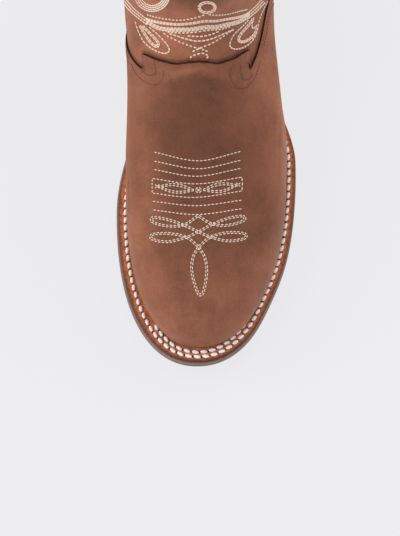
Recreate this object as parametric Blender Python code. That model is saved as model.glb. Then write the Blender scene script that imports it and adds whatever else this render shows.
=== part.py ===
"""Western work boot for the left foot, standing empty on its sole.

The frame is in metres with +Z up, the floor at z = 0, the toe towards -Y and the outer side of
the foot towards +X. A station is a distance back from the toe tip of the outsole. A turn runs
round the boot: 0 at the toe, -1 and 1 both at the back seam, negative on the inner side.
"""

import math
from collections import namedtuple

import bmesh
import bpy
from mathutils import Vector

# Sizes that drive the whole boot
SOLE_LENGTH = 0.306
AXIS_X = -0.0035
TOE_TIP_X = -0.0022
HEEL_BACK_X = 0.0005
GAP = 0.0003

# Sole sizes
FOREFOOT_SOLE = 0.0085
SHANK_SOLE = 0.0060
TOE_SPRING = 0.0120
HEEL_RISE = 0.0270
SPRING_FROM = 0.092
SHANK_FROM = 0.134
SHANK_TO = 0.234
WELT_THICK = 0.0032
WELT_SET_BACK = 0.0014
WELT_UNDER_UPPER = 0.0060
WELT_CHAMFER = 0.0006
WELT_END = 0.240
WELT_END_GAP = 0.0014
HEEL_BREAST = 0.238
HEEL_TAPER = 0.0035
BREAST_SLOPE = 0.0040
INSOLE_THICK = 0.0030
INSOLE_SET_BACK = 0.0008
INSOLE_LIFT = 0.0003

# Tread sizes
LUG_DEPTH = 0.0042
LUG_GROOVE = 0.0042
LUG_REACH = 0.0150
LUG_PITCH = 0.0164
LUG_LAST_TURN = 0.47
RING_GROOVE = 0.0040
BAR_STATIONS = (0.040, 0.058, 0.076, 0.094, 0.112, 0.130)
HEEL_BAR_STATIONS = (0.252, 0.268, 0.284)

# Leather sizes
WALL = 0.0022
OVERLAY = 0.0018
OVERLAY_GAP = 0.0004
SEAM_TURN = 0.590
SEAM_GAP_TURN = 0.0009
COLLAR_DIP = 0.022
DIP_FROM_LEVEL = 12.0
PIPING_WIDTH = 0.0042
PIPING_HEIGHT = 0.0020
PIPING_ABOVE_OVERLAY = 0.0035
PIPING_BELOW_COLLAR = 0.0015

# Mesh steps
COLUMNS = 24
RINGS_BETWEEN = 2
SHAFT_FROM_LEVEL = 10
SOLE_STEPS = 30
PIPING_STEPS = 13
RING_STEPS = 10

# Half outline of the outsole: stations and half widths of the ball, the waist and the heel
Edge = namedtuple("Edge", "sign toe_power ball_at ball waist_at waist heel_at heel")
INNER = Edge(-1.0, 2.19, 0.0960, 0.0502, 0.196, 0.0325, 0.266, 0.0365)
OUTER = Edge(1.0, 2.02, 0.1235, 0.0572, 0.202, 0.0415, 0.266, 0.0385)
HEEL_ROUND = 0.046
HEEL_POWER = 2.3

# How far the upper stands inside the outsole's edge at the ball, the waist and the heel
Inset = namedtuple("Inset", "station width")
UPPER_INSETS = (Inset(0.105, 0.0093), Inset(0.195, 0.0065), Inset(0.262, 0.0062))

# Sections of the upper from the feather edge to the collar. front and back are stations of the
# ends, front_rise and back_rise their heights over the feather edge, full_inner, full_outer and
# full_heel the stations where the section is at full width, leg the share of the leg's oval,
# swell the bulge over the outline, leg_inner and leg_outer the half widths of the leg.
Section = namedtuple(
    "Section",
    "front front_rise back back_rise full_inner full_outer full_heel leg swell"
    " leg_inner leg_outer front_power back_power",
)
SECTIONS = (
    Section(0.0120, 0.0000, 0.2995, 0.000, 0.093, 0.120, 0.256, 0.00, 0.0000, 0.0432, 0.0455, 2.15, 2.30),
    Section(0.0110, 0.0085, 0.3013, 0.008, 0.094, 0.121, 0.254, 0.10, 0.0015, 0.0432, 0.0455, 2.20, 2.30),
    Section(0.0124, 0.0175, 0.3022, 0.017, 0.096, 0.122, 0.252, 0.22, 0.0020, 0.0432, 0.0455, 2.20, 2.30),
    Section(0.0190, 0.0260, 0.3020, 0.025, 0.103, 0.126, 0.250, 0.36, 0.0018, 0.0432, 0.0455, 2.12, 2.30),
    Section(0.0340, 0.0350, 0.3005, 0.033, 0.119, 0.136, 0.247, 0.50, 0.0014, 0.0432, 0.0445, 2.00, 2.25),
    Section(0.0610, 0.0450, 0.2983, 0.042, 0.142, 0.153, 0.243, 0.64, 0.0008, 0.0432, 0.0440, 1.88, 2.20),
    Section(0.0910, 0.0555, 0.2960, 0.051, 0.165, 0.171, 0.238, 0.76, 0.0003, 0.0432, 0.0425, 1.82, 2.20),
    Section(0.1160, 0.0675, 0.2937, 0.060, 0.185, 0.189, 0.233, 0.87, 0.0000, 0.0430, 0.0386, 1.80, 2.15),
    Section(0.1380, 0.0825, 0.2915, 0.070, 0.205, 0.206, 0.228, 0.95, 0.0000, 0.0430, 0.0352, 1.80, 2.10),
    Section(0.1520, 0.0990, 0.2898, 0.083, 0.217, 0.218, 0.223, 1.00, 0.0000, 0.0440, 0.0338, 1.86, 2.05),
    Section(0.1595, 0.1220, 0.2890, 0.104, 0.222, 0.222, 0.222, 1.00, 0.0000, 0.0446, 0.0342, 1.98, 2.05),
    Section(0.1630, 0.1620, 0.2895, 0.143, 0.225, 0.225, 0.225, 1.00, 0.0000, 0.0448, 0.0362, 2.08, 2.10),
    Section(0.1630, 0.2120, 0.2920, 0.193, 0.228, 0.228, 0.228, 1.00, 0.0000, 0.0450, 0.0386, 2.10, 2.10),
    Section(0.1615, 0.2645, 0.2960, 0.245, 0.229, 0.229, 0.229, 1.00, 0.0000, 0.0452, 0.0410, 2.10, 2.10),
    Section(0.1600, 0.3070, 0.2985, 0.287, 0.2295, 0.2295, 0.2295, 1.00, 0.0, 0.0452, 0.0420, 2.10, 2.10),
)
COLLAR_LEVEL = len(SECTIONS) - 1.0

# Upper edge of the vamp and the counter: the turn round the boot and the height there
Edging = namedtuple("Edging", "turn height")
TOP_EDGE = (
    Edging(0.000, 0.1140),
    Edging(0.060, 0.1105),
    Edging(0.110, 0.1075),
    Edging(0.170, 0.1050),
    Edging(0.215, 0.1020),
    Edging(0.234, 0.0970),
    Edging(0.254, 0.0915),
    Edging(0.280, 0.0905),
    Edging(0.330, 0.0875),
    Edging(0.400, 0.0845),
    Edging(0.475, 0.0810),
    Edging(0.540, 0.0770),
    Edging(0.590, 0.0740),
    Edging(0.660, 0.0730),
    Edging(0.740, 0.0755),
    Edging(0.840, 0.0830),
    Edging(0.930, 0.0890),
    Edging(1.000, 0.0915),
)
TONGUE_TURNS = (0.060, 0.110, 0.190, 0.215, 0.234, 0.254, 0.280)

# Colours of the materials, linear
Finish = namedtuple("Finish", "colour roughness")
LEATHER = Finish((0.262, 0.102, 0.061), 0.78)
WELT_LEATHER = Finish((0.521, 0.168, 0.058), 0.62)
RUBBER = Finish((0.118, 0.072, 0.058), 0.72)
BOARD = Finish((0.420, 0.270, 0.160), 0.85)


def ease(share):
    """Smooth step from 0 to 1 with flat ends."""
    share = min(max(share, 0.0), 1.0)
    return 0.5 - 0.5 * math.cos(math.pi * share)


def mix(first, second, share):
    return first + (second - first) * share


def rounding(share, power):
    """Quarter of a superellipse: 0 at the end, 1 where the full width is reached."""
    away = 1.0 - min(max(share, 0.0), 1.0)
    return max(0.0, 1.0 - away ** power) ** (1.0 / power)


def through(points, places, where):
    """Smooth curve through values given at rising places."""
    last = len(places) - 1
    low = 0
    while low < last - 1 and where > places[low + 1]:
        low += 1
    span = places[low + 1] - places[low]
    share = min(max((where - places[low]) / span, 0.0), 1.0)
    slopes = []
    for index in (low, low + 1):
        before = max(index - 1, 0)
        after = min(index + 1, last)
        slopes.append((points[after] - points[before]) / (places[after] - places[before]) * span)
    square = share * share
    cube = square * share
    return (
        (2 * cube - 3 * square + 1) * points[low]
        + (cube - 2 * square + share) * slopes[0]
        + (3 * square - 2 * cube) * points[low + 1]
        + (cube - square) * slopes[1]
    )


# Heights along the sole


def shank_share(station):
    return ease((station - SHANK_FROM) / (SHANK_TO - SHANK_FROM))


def tread_line(station):
    """Height of the outsole's underside."""
    lift = max(0.0, (SPRING_FROM - station) / SPRING_FROM)
    return TOE_SPRING * lift * lift + HEEL_RISE * shank_share(station)


def sole_top(station):
    """Height of the outsole's upper face under the welt."""
    return tread_line(station) + mix(FOREFOOT_SOLE, SHANK_SOLE, shank_share(station))


def feather_line(station):
    """Height of the upper's lower edge."""
    return sole_top(station) + WELT_THICK + 2 * GAP


# Outlines in plan


def edge_half(edge, station):
    """Half width of the outsole before its ends are rounded."""
    if station < edge.waist_at:
        return mix(edge.ball, edge.waist, ease((station - edge.ball_at) / (edge.waist_at - edge.ball_at)))
    return mix(edge.waist, edge.heel, ease((station - edge.waist_at) / (edge.heel_at - edge.waist_at)))


def side_of(turn):
    return INNER if turn < 0.0 else OUTER


def wrapped(turn):
    """The same place with its turn between -1 and 1."""
    if turn > 1.0:
        return turn - 2.0
    if turn < -1.0:
        return turn + 2.0
    return turn


def station_of(turn):
    return SOLE_LENGTH * (1.0 - math.cos(math.pi * abs(turn))) / 2


def turn_of(station):
    return math.acos(1.0 - 2.0 * station / SOLE_LENGTH) / math.pi


def outline_raw(turn):
    turn = wrapped(turn)
    edge = side_of(turn)
    station = station_of(turn)
    centre = TOE_TIP_X if station < edge.waist_at else HEEL_BACK_X
    toe = rounding(station / edge.ball_at, edge.toe_power)
    heel = rounding((SOLE_LENGTH - station) / HEEL_ROUND, HEEL_POWER)
    across = centre + (edge.sign * edge_half(edge, station) - centre) * toe * heel
    return Vector((AXIS_X + across, station - SOLE_LENGTH / 2, 0.0))


def outline(turn, inset):
    """Point of the outsole's outline moved inwards in plan."""
    step = 0.004
    along = outline_raw(turn + step) - outline_raw(turn - step)
    inward = Vector((-along.y, along.x, 0.0)).normalized()
    return outline_raw(turn) + inward * inset


def upper_inset(station):
    return through(
        [row.width for row in UPPER_INSETS],
        [row.station for row in UPPER_INSETS],
        min(max(station, UPPER_INSETS[0].station), UPPER_INSETS[-1].station),
    )


# Surface of the upper


def section_at(level):
    places = list(range(len(SECTIONS)))
    return Section(*[through(column, places, level) for column in zip(*SECTIONS)])


def upper_point(turn, level):
    """Point of the upper's outer face at a turn round the boot and a level up the sections."""
    turn = wrapped(turn)
    edge = side_of(turn)
    row = section_at(level)
    leg = min(max(row.leg, 0.0), 1.0)
    share = (1.0 - math.cos(math.pi * abs(turn))) / 2
    station = mix(row.front, row.back, share)
    foot = edge_half(edge, station) - upper_inset(station) + row.swell
    shin = row.leg_inner if edge is INNER else row.leg_outer
    half = mix(foot, shin, leg)
    centre = mix(TOE_TIP_X, HEEL_BACK_X, share) * (1.0 - leg)
    full = row.full_inner if edge is INNER else row.full_outer
    front = rounding((station - row.front) / (full - row.front), row.front_power)
    back = rounding((row.back - station) / (row.back - row.full_heel), row.back_power)
    across = centre + (edge.sign * half - centre) * front * back
    front_z = feather_line(row.front) + row.front_rise
    back_z = feather_line(row.back) + row.back_rise
    follow = feather_line(station) - mix(feather_line(row.front), feather_line(row.back), share)
    height = mix(front_z, back_z, share) + (1.0 - leg) * follow
    dip = ease((level - DIP_FROM_LEVEL) / (COLLAR_LEVEL - DIP_FROM_LEVEL))
    height -= COLLAR_DIP * dip * (0.5 + 0.5 * math.cos(2 * math.pi * turn)) ** 1.4
    return Vector((AXIS_X + across, station - SOLE_LENGTH / 2, height))


def upper_normal(turn, level):
    step = 0.004
    lower = max(level - 0.05, 0.0)
    upper = min(level + 0.05, COLLAR_LEVEL)
    around = upper_point(turn + step, level) - upper_point(turn - step, level)
    rise = upper_point(turn, upper) - upper_point(turn, lower)
    return around.cross(rise).normalized()


def upper_lifted(turn, level, lift):
    return upper_point(turn, level) + upper_normal(turn, level) * lift


def level_at(turn, height):
    """Level of the upper where it reaches a height, found by halving."""
    low = 0.0
    high = COLLAR_LEVEL
    for _ in range(40):
        middle = (low + high) / 2
        if upper_point(turn, middle).z < height:
            low = middle
        else:
            high = middle
    return (low + high) / 2


def top_edge_level(turn):
    height = through([row.height for row in TOP_EDGE], [row.turn for row in TOP_EDGE], abs(wrapped(turn)))
    return level_at(turn, height)


# Mesh helpers


def add_object(name, mesh_data, finish):
    mesh = bpy.data.meshes.new(name)
    mesh_data.to_mesh(mesh)
    mesh_data.free()
    piece = bpy.data.objects.new(name, mesh)
    bpy.context.scene.collection.objects.link(piece)
    if finish is not None:
        material = bpy.data.materials.new(name)
        material.use_nodes = True
        shader = material.node_tree.nodes["Principled BSDF"]
        shader.inputs["Base Color"].default_value = (*finish.colour, 1.0)
        shader.inputs["Roughness"].default_value = finish.roughness
        mesh.materials.append(material)
    return piece


def add_cutter(name, mesh_data, target):
    """Hidden body that is cut out of the target."""
    cutter = add_object(name, mesh_data, None)
    cutter.hide_render = True
    cutter.display_type = "WIRE"
    cut = target.modifiers.new(name, "BOOLEAN")
    cut.operation = "DIFFERENCE"
    cut.solver = "EXACT"
    cut.object = cutter
    return cutter


def add_thickness(piece, thick, offset):
    solid = piece.modifiers.new("thickness", "SOLIDIFY")
    solid.thickness = thick
    solid.offset = offset
    solid.use_even_offset = True
    solid.use_quality_normals = True


def clean(mesh_data):
    bmesh.ops.remove_doubles(mesh_data, verts=mesh_data.verts[:], dist=1e-6)
    bmesh.ops.recalc_face_normals(mesh_data, faces=mesh_data.faces[:])
    return mesh_data


def loft(rows, closed_round, closed_along):
    """Quads between rows of points. Rows may close on themselves and onto the first row."""
    mesh_data = bmesh.new()
    verts = [[mesh_data.verts.new(point) for point in row] for row in rows]
    count = len(rows[0])
    last_row = len(rows) if closed_along else len(rows) - 1
    last_point = count if closed_round else count - 1
    for index in range(last_row):
        lower = verts[index]
        upper = verts[(index + 1) % len(rows)]
        for place in range(last_point):
            after = (place + 1) % count
            mesh_data.faces.new((lower[place], lower[after], upper[after], upper[place]))
    if closed_round and not closed_along:
        mesh_data.faces.new(verts[0])
        mesh_data.faces.new(verts[-1])
    return mesh_data


def slab(turns, levels):
    """Body under a plan outline. Turns rise from toe to heel, and each level is a function that
    gives the point at a signed turn, from the bottom up."""
    mesh_data = bmesh.new()
    inner = [[mesh_data.verts.new(level(-turn)) for turn in turns] for level in levels]
    outer = [[mesh_data.verts.new(level(turn)) for turn in turns] for level in levels]
    for index in range(len(turns) - 1):
        after = index + 1
        for near, far in ((inner, outer), (outer, inner)):
            cap = near[-1] if near is inner else near[0]
            other = far[-1] if near is inner else far[0]
            mesh_data.faces.new((cap[index], cap[after], other[after], other[index]))
        for rows in (inner, outer):
            for low in range(len(levels) - 1):
                mesh_data.faces.new(
                    (rows[low][index], rows[low][after], rows[low + 1][after], rows[low + 1][index])
                )
    for index in (0, -1):
        for low in range(len(levels) - 1):
            mesh_data.faces.new(
                (inner[low][index], outer[low][index], outer[low + 1][index], inner[low + 1][index])
            )
    bmesh.ops.remove_doubles(mesh_data, verts=mesh_data.verts[:], dist=1e-6)
    bmesh.ops.dissolve_degenerate(mesh_data, edges=mesh_data.edges[:], dist=1e-7)
    bmesh.ops.recalc_face_normals(mesh_data, faces=mesh_data.faces[:])
    return mesh_data


def add_block(mesh_data, corners):
    """Box from its four lower corners and its four upper corners, in the same order."""
    verts = [mesh_data.verts.new(corner) for corner in corners]
    mesh_data.faces.new(verts[0:4])
    mesh_data.faces.new(verts[4:8])
    for index in range(4):
        after = (index + 1) % 4
        mesh_data.faces.new((verts[index], verts[after], verts[after + 4], verts[index + 4]))


def groove_block(mesh_data, centre, along, half_width, half_length, low, high):
    """Box lying along a plan direction."""
    across = Vector((-along.y, along.x, 0.0))
    corners = []
    for height in (low, high):
        for way, sideways in ((-1, -1), (1, -1), (1, 1), (-1, 1)):
            corner = centre + along * (way * half_length) + across * (sideways * half_width)
            corners.append(Vector((corner.x, corner.y, height)))
    add_block(mesh_data, corners)


# Pieces of the sole


def seat_height(turn, station):
    """Upper face of the outsole, with the raised heel seat behind the welt."""
    if station_of(turn) > WELT_END + GAP:
        return feather_line(station) - GAP
    return sole_top(station)


def pitch_turns(sign):
    """Turns of the lug grooves, evenly spaced along one edge from the toe."""
    turns = []
    travelled = LUG_PITCH / 2
    steps = 600
    before = outline(0.0, 0.0)
    for index in range(1, steps + 1):
        turn = sign * LUG_LAST_TURN * index / steps
        place = outline(turn, 0.0)
        travelled += (place - before).length
        before = place
        if travelled >= LUG_PITCH:
            turns.append(turn)
            travelled -= LUG_PITCH
    return turns


def build_outsole():
    first = turn_of(WELT_END)
    second = turn_of(WELT_END + 2 * GAP)
    steps = [(index / SOLE_STEPS) for index in range(SOLE_STEPS + 1)]
    turns = sorted([turn for turn in steps if abs(turn - first) > 0.008] + [first, second])
    # Side of the sole from the floor up: inset of the edge and share of the sole's thickness
    profile = (
        (0.0036, 0.00),
        (0.0024, 0.06),
        (0.0012, 0.42),
        (0.0020, 0.47),
        (0.0020, 0.52),
        (0.0000, 0.56),
        (0.0000, 0.88),
        (0.0008, 1.00),
    )

    def level(inset, share):
        def point(turn):
            place = outline(turn, inset)
            station = place.y + SOLE_LENGTH / 2
            top = seat_height(turn, station) if share == 1.0 else sole_top(station)
            place.z = mix(tread_line(station), top, share)
            return place

        return point

    outsole = add_object("outsole", slab(turns, [level(*row) for row in profile]), RUBBER)

    lugs = bmesh.new()
    for sign in (-1.0, 1.0):
        for turn in pitch_turns(sign):
            station = station_of(turn)
            edge_place = outline(turn, 0.0)
            inward = (outline(turn, 0.01) - edge_place).normalized()
            centre = edge_place + inward * (LUG_REACH / 2 - 0.001)
            low = tread_line(station) - 0.006
            high = tread_line(station) + LUG_DEPTH
            groove_block(lugs, centre, inward, LUG_GROOVE / 2, LUG_REACH / 2 + 0.001, low, high)
    bmesh.ops.recalc_face_normals(lugs, faces=lugs.faces[:])
    add_cutter("lug_grooves", lugs, outsole)

    ring = []
    for index in range(-RING_STEPS, RING_STEPS + 1):
        turn = LUG_LAST_TURN * index / RING_STEPS
        station = station_of(turn)
        near = outline(turn, LUG_REACH - 0.0015)
        far = outline(turn, LUG_REACH - 0.0015 + RING_GROOVE)
        low = tread_line(station) - 0.006
        high = tread_line(station) + LUG_DEPTH - 0.0003
        ring.append(
            [
                Vector((near.x, near.y, low)),
                Vector((far.x, far.y, low)),
                Vector((far.x, far.y, high)),
                Vector((near.x, near.y, high)),
            ]
        )
    add_cutter("ring_groove", clean(loft(ring, True, False)), outsole)

    bars = bmesh.new()
    for station in BAR_STATIONS:
        turn = turn_of(station)
        left = outline(-turn, LUG_REACH + 0.001)
        right = outline(turn, LUG_REACH + 0.001)
        middle = Vector(((left.x + right.x) / 2, station - SOLE_LENGTH / 2, 0.0))
        low = tread_line(station) - 0.006
        high = tread_line(station) + LUG_DEPTH - 0.0006
        groove_block(bars, middle, Vector((1, 0, 0)), LUG_GROOVE / 2, (right.x - left.x) / 2, low, high)
    bmesh.ops.recalc_face_normals(bars, faces=bars.faces[:])
    add_cutter("bar_grooves", bars, outsole)


def build_heel():
    start = turn_of(HEEL_BREAST)
    steps = 10
    turns = [mix(start, 1.0, index / steps) for index in range(steps + 1)]
    # Side of the heel from the floor up: inset and share of the height
    profile = ((HEEL_TAPER + 0.001, 0.0), (HEEL_TAPER, 0.05), (HEEL_TAPER * 0.55, 0.40), (0.0006, 1.0))

    def level(inset, share):
        def point(turn):
            place = outline(turn, inset)
            place.y += BREAST_SLOPE * (1.0 - share) * (1.0 - abs(turn)) / (1.0 - start)
            place.z = (HEEL_RISE - GAP) * share
            return place

        return point

    heel = add_object("heel", slab(turns, [level(*row) for row in profile]), RUBBER)
    bars = bmesh.new()
    for station in HEEL_BAR_STATIONS:
        middle = Vector((AXIS_X, station - SOLE_LENGTH / 2, 0.0))
        groove_block(bars, middle, Vector((1, 0, 0)), LUG_GROOVE / 2, 0.060, -0.006, LUG_DEPTH)
    bmesh.ops.recalc_face_normals(bars, faces=bars.faces[:])
    add_cutter("heel_grooves", bars, heel)


def build_welt():
    end = turn_of(WELT_END - WELT_END_GAP)
    rows = []
    steps = 2 * SOLE_STEPS - 16

    def corner(turn, inset, rise):
        place = outline(turn, inset)
        place.z = sole_top(place.y + SOLE_LENGTH / 2) + GAP + rise
        return place

    for index in range(steps + 1):
        turn = mix(-end, end, index / steps)
        inside = upper_inset(station_of(turn)) + WELT_UNDER_UPPER
        rows.append(
            [
                corner(turn, WELT_SET_BACK, 0.0),
                corner(turn, inside, 0.0),
                corner(turn, inside, WELT_THICK),
                corner(turn, WELT_SET_BACK + WELT_CHAMFER, WELT_THICK),
                corner(turn, WELT_SET_BACK, WELT_THICK - WELT_CHAMFER),
            ]
        )
    add_object("welt", clean(loft(rows, True, False)), WELT_LEATHER)


def build_insole():
    steps = 18

    def level(height):
        def point(turn):
            place = upper_lifted(turn, 0.0, -(WALL + INSOLE_SET_BACK))
            station = place.y + SOLE_LENGTH / 2
            place.z = feather_line(station) + height
            return place

        return point

    turns = [index / steps for index in range(steps + 1)]
    add_object("insole", slab(turns, [level(INSOLE_LIFT), level(INSOLE_LIFT + INSOLE_THICK)]), BOARD)


# Pieces of the upper


def ring_levels():
    """Levels of the rings, closer together over the foot and at the collar's dip."""
    foot = [index / RINGS_BETWEEN for index in range(SHAFT_FROM_LEVEL * RINGS_BETWEEN)]
    shaft = list(range(SHAFT_FROM_LEVEL, int(COLLAR_LEVEL)))
    return foot + shaft + [COLLAR_LEVEL - 0.5, COLLAR_LEVEL]


def round_turns():
    return [index / COLUMNS for index in range(-COLUMNS, COLUMNS)]


def build_upper():
    rows = [[upper_point(turn, level) for turn in round_turns()] for level in ring_levels()]
    mesh_data = bmesh.new()
    verts = [[mesh_data.verts.new(point) for point in row] for row in rows]
    count = 2 * COLUMNS
    for index in range(len(rows) - 1):
        for place in range(count):
            after = (place + 1) % count
            mesh_data.faces.new(
                (verts[index][place], verts[index][after], verts[index + 1][after], verts[index + 1][place])
            )
    upper = add_object("upper", mesh_data, LEATHER)
    add_thickness(upper, WALL, -1.0)


def overlay_start(turn):
    """Lowest level where the overlay's outer edge clears the welt."""
    level = 0.0
    while level < 0.4:
        place = upper_lifted(turn, level, OVERLAY_GAP + OVERLAY)
        if place.z > feather_line(place.y + SOLE_LENGTH / 2) + GAP:
            break
        level += 0.01
    return level


def overlay(name, turns):
    """Leather laid over the upper, from the feather edge to the shared top edge."""
    levels = ring_levels()
    columns = []
    for turn in turns:
        top = top_edge_level(turn)
        places = [level if level < top - 0.18 else top for level in levels]
        places[0] = overlay_start(turn)
        columns.append([upper_lifted(turn, place, OVERLAY_GAP) for place in places])
    mesh_data = bmesh.new()
    verts = [[mesh_data.verts.new(point) for point in column] for column in columns]
    for index in range(len(columns) - 1):
        for place in range(len(levels) - 1):
            corners = (
                verts[index][place],
                verts[index + 1][place],
                verts[index + 1][place + 1],
                verts[index][place + 1],
            )
            mesh_data.faces.new(corners)
    bmesh.ops.remove_doubles(mesh_data, verts=mesh_data.verts[:], dist=2e-6)
    bmesh.ops.dissolve_degenerate(mesh_data, edges=mesh_data.edges[:], dist=2e-6)
    piece = add_object(name, mesh_data, LEATHER)
    add_thickness(piece, OVERLAY, 1.0)


def build_vamp():
    end = SEAM_TURN - SEAM_GAP_TURN
    half = [index / COLUMNS for index in range(1, COLUMNS) if index / COLUMNS < end - 0.012]
    half = sorted(set(half) | set(TONGUE_TURNS))
    overlay("vamp", [-end] + [-turn for turn in reversed(half)] + [0.0] + half + [end])


def build_counter():
    start = SEAM_TURN + SEAM_GAP_TURN
    half = [index / COLUMNS for index in range(1, COLUMNS) if index / COLUMNS > start + 0.012]
    overlay("counter", [start] + half + [1.0] + [2.0 - turn for turn in reversed(half)] + [2.0 - start])


def build_side_seam(name, sign):
    """Raised piping up the side of the shaft, half round."""
    start = level_at(sign * SEAM_TURN, TOP_EDGE[12].height + PIPING_ABOVE_OVERLAY)
    end = level_at(sign * 0.5, upper_point(sign * 0.5, COLLAR_LEVEL).z - PIPING_BELOW_COLLAR)
    # Outline of the piping: place across its width and height over the leather
    profile = ((-0.5, 0.0), (-0.5, 0.35), (-0.28, 0.85), (0.28, 0.85), (0.5, 0.35), (0.5, 0.0))
    rows = []
    for index in range(PIPING_STEPS + 1):
        level = mix(start, end, index / PIPING_STEPS)
        turn = sign * mix(SEAM_TURN, 0.5, ease((level - start) / 5.0))
        place = upper_point(turn, level)
        outward = upper_normal(turn, level)
        rise = (upper_point(turn, min(level + 0.1, COLLAR_LEVEL)) - upper_point(turn, level - 0.1)).normalized()
        across = rise.cross(outward).normalized()
        rows.append(
            [
                place + across * (PIPING_WIDTH * wide) + outward * (OVERLAY_GAP + PIPING_HEIGHT * high)
                for wide, high in profile
            ]
        )
    add_object(name, clean(loft(rows, True, False)), LEATHER)


def main():
    for old in list(bpy.data.objects):
        bpy.data.objects.remove(old, do_unlink=True)
    build_outsole()
    build_heel()
    build_welt()
    build_insole()
    build_upper()
    build_vamp()
    build_counter()
    build_side_seam("side_seam_inner", -1.0)
    build_side_seam("side_seam_outer", 1.0)


main()
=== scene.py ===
"""Looks of the western work boot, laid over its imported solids.

The frame is the part's own: metres, +Z up, toe towards -Y, outer side of the foot towards +X.
The leather is laid on the same sections of the last as the solids, in finer steps, and fitted a
little more closely to the photo. A turn goes round the boot from 0 at the toe to 1 or -1 at the back,
negative on the inner side. A station is the distance back from the toe's tip. A level counts the
sections of the upper.
"""

import math
from collections import namedtuple
from functools import lru_cache

import bmesh
import bpy
import numpy as np
from mathutils import Matrix, Vector
from mathutils.bvhtree import BVHTree
from mathutils.kdtree import KDTree


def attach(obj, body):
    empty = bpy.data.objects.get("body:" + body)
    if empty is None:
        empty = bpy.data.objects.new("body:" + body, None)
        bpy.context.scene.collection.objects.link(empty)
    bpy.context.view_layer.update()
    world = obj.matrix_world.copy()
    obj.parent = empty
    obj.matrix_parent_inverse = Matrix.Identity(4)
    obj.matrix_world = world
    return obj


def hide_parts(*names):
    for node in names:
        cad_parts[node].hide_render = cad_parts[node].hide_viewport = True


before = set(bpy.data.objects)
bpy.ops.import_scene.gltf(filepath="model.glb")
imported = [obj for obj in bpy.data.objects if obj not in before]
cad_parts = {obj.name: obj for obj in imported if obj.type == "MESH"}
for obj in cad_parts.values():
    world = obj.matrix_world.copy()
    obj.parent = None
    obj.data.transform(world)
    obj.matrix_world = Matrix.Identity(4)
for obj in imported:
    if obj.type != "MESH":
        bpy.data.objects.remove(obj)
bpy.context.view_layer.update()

bl_info = {
    "name": "Western Work Boot",
    "version": (1, 0, 0),
    "blender": (4, 5, 0),
    "location": "View3D > Sidebar > Boot",
    "description": "Lays leather, rubber, welt and stitching over the solids of a western work boot",
    "category": "Object",
}

# Sizes of the last, the sole and the overlays, as in the part's source
SOLE_LENGTH = 0.306
AXIS_X = -0.0035
TOE_TIP_X = -0.0022
HEEL_BACK_X = 0.0005
GAP = 0.0003
FOREFOOT_SOLE = 0.0085
SHANK_SOLE = 0.0060
TOE_SPRING = 0.0120
HEEL_RISE = 0.0270
SPRING_FROM = 0.092
SHANK_FROM = 0.134
SHANK_TO = 0.234
WELT_THICK = 0.0032
WELT_UNDER_UPPER = 0.0060
WELT_CHAMFER = 0.0006
WELT_END = 0.240
WELT_END_GAP = 0.0014
HEEL_BREAST = 0.238
HEEL_TAPER = 0.0035
BREAST_SLOPE = 0.0040
LUG_DEPTH = 0.0042
LUG_GROOVE = 0.0042
LUG_REACH = 0.0150
LUG_PITCH = 0.0164
LUG_LAST_TURN = 0.47
LUG_INSIDE = LUG_REACH - 0.0015
RING_GROOVE = 0.0040
BAR_STATIONS = (0.040, 0.058, 0.076, 0.094, 0.112, 0.130)
HEEL_BAR_STATIONS = (0.252, 0.268, 0.284)
WALL = 0.0022
OVERLAY = 0.0018
OVERLAY_GAP = 0.0004
SEAM_TURN = 0.590
SEAM_GAP_TURN = 0.0009
SEAM_TOP_TURN = 0.5
SEAM_BENDS_OVER = 5.0
COLLAR_DIP = 0.022
DIP_FROM_LEVEL = 12.0
DIP_POWER = 1.4
PIPING_WIDTH = 0.0042
PIPING_HEIGHT = 0.0020
PIPING_ABOVE_OVERLAY = 0.0035
PIPING_BELOW_COLLAR = 0.0015

# Length of the foremost cross bar, and how far the heel's last bar ends short of the back
FIRST_BAR = 0.016
HEEL_BACK_TRIM = 0.0050

# Each side of the boot: stations and half widths of the ball, the waist and the heel of the outsole,
# how far the upper is drawn in at the foot and let out at the leg, from which rise and over what height,
# how much the toe is trimmed, and how far the tongue's corner leans over its notch, in turns
Edge = namedtuple(
    "Edge",
    "sign toe_power ball_at ball waist_at waist heel_at heel"
    " drawn_in let_out let_out_from let_out_over toe_trim corner_lean",
)
INNER = Edge(
    -1.0, 2.22, 0.1005, 0.0498, 0.196, 0.0325, 0.266, 0.0365,
    drawn_in=0.0020, let_out=0.0020, let_out_from=0.062, let_out_over=0.030,
    toe_trim=0.0, corner_lean=0.016,
)
OUTER = Edge(
    1.0, 2.07, 0.1330, 0.0577, 0.194, 0.0415, 0.266, 0.0385,
    drawn_in=0.0008, let_out=0.0024, let_out_from=0.030, let_out_over=0.040,
    toe_trim=0.0022, corner_lean=0.026,
)
TOE_TRIM_AT = 0.036
TOE_TRIM_REACH = 0.022
HEEL_ROUND = 0.046
HEEL_POWER = 2.3
# The heel is swept to just short of the back, so that it has no faces without area
HEEL_END_TURN = 0.996

# How far the upper stands inside the outsole's edge at the ball, the waist and the heel
Inset = namedtuple("Inset", "station width")
UPPER_INSETS = (Inset(0.105, 0.0093), Inset(0.195, 0.0065), Inset(0.262, 0.0062))

# How far the welt's edge stands inside the outsole's, and how much further in its stitch rows lie
WeltLine = namedtuple("WeltLine", "turn set_back row_shift")
WELT_LINE = (
    WeltLine(-0.75, 0.0014, 0.0008),
    WeltLine(-0.25, 0.0014, 0.0007),
    WeltLine(0.00, 0.0011, -0.0010),
    WeltLine(0.25, 0.0007, -0.0003),
    WeltLine(0.75, 0.0006, 0.0000),
)
# Lines of the welt's upper face, as distances from its edge, and the drop of its chamfer's upper line
WELT_FLAT = 0.0050
WELT_SHOULDER = 0.0018
WELT_CHAMFER_DROP = 0.0001

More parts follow.
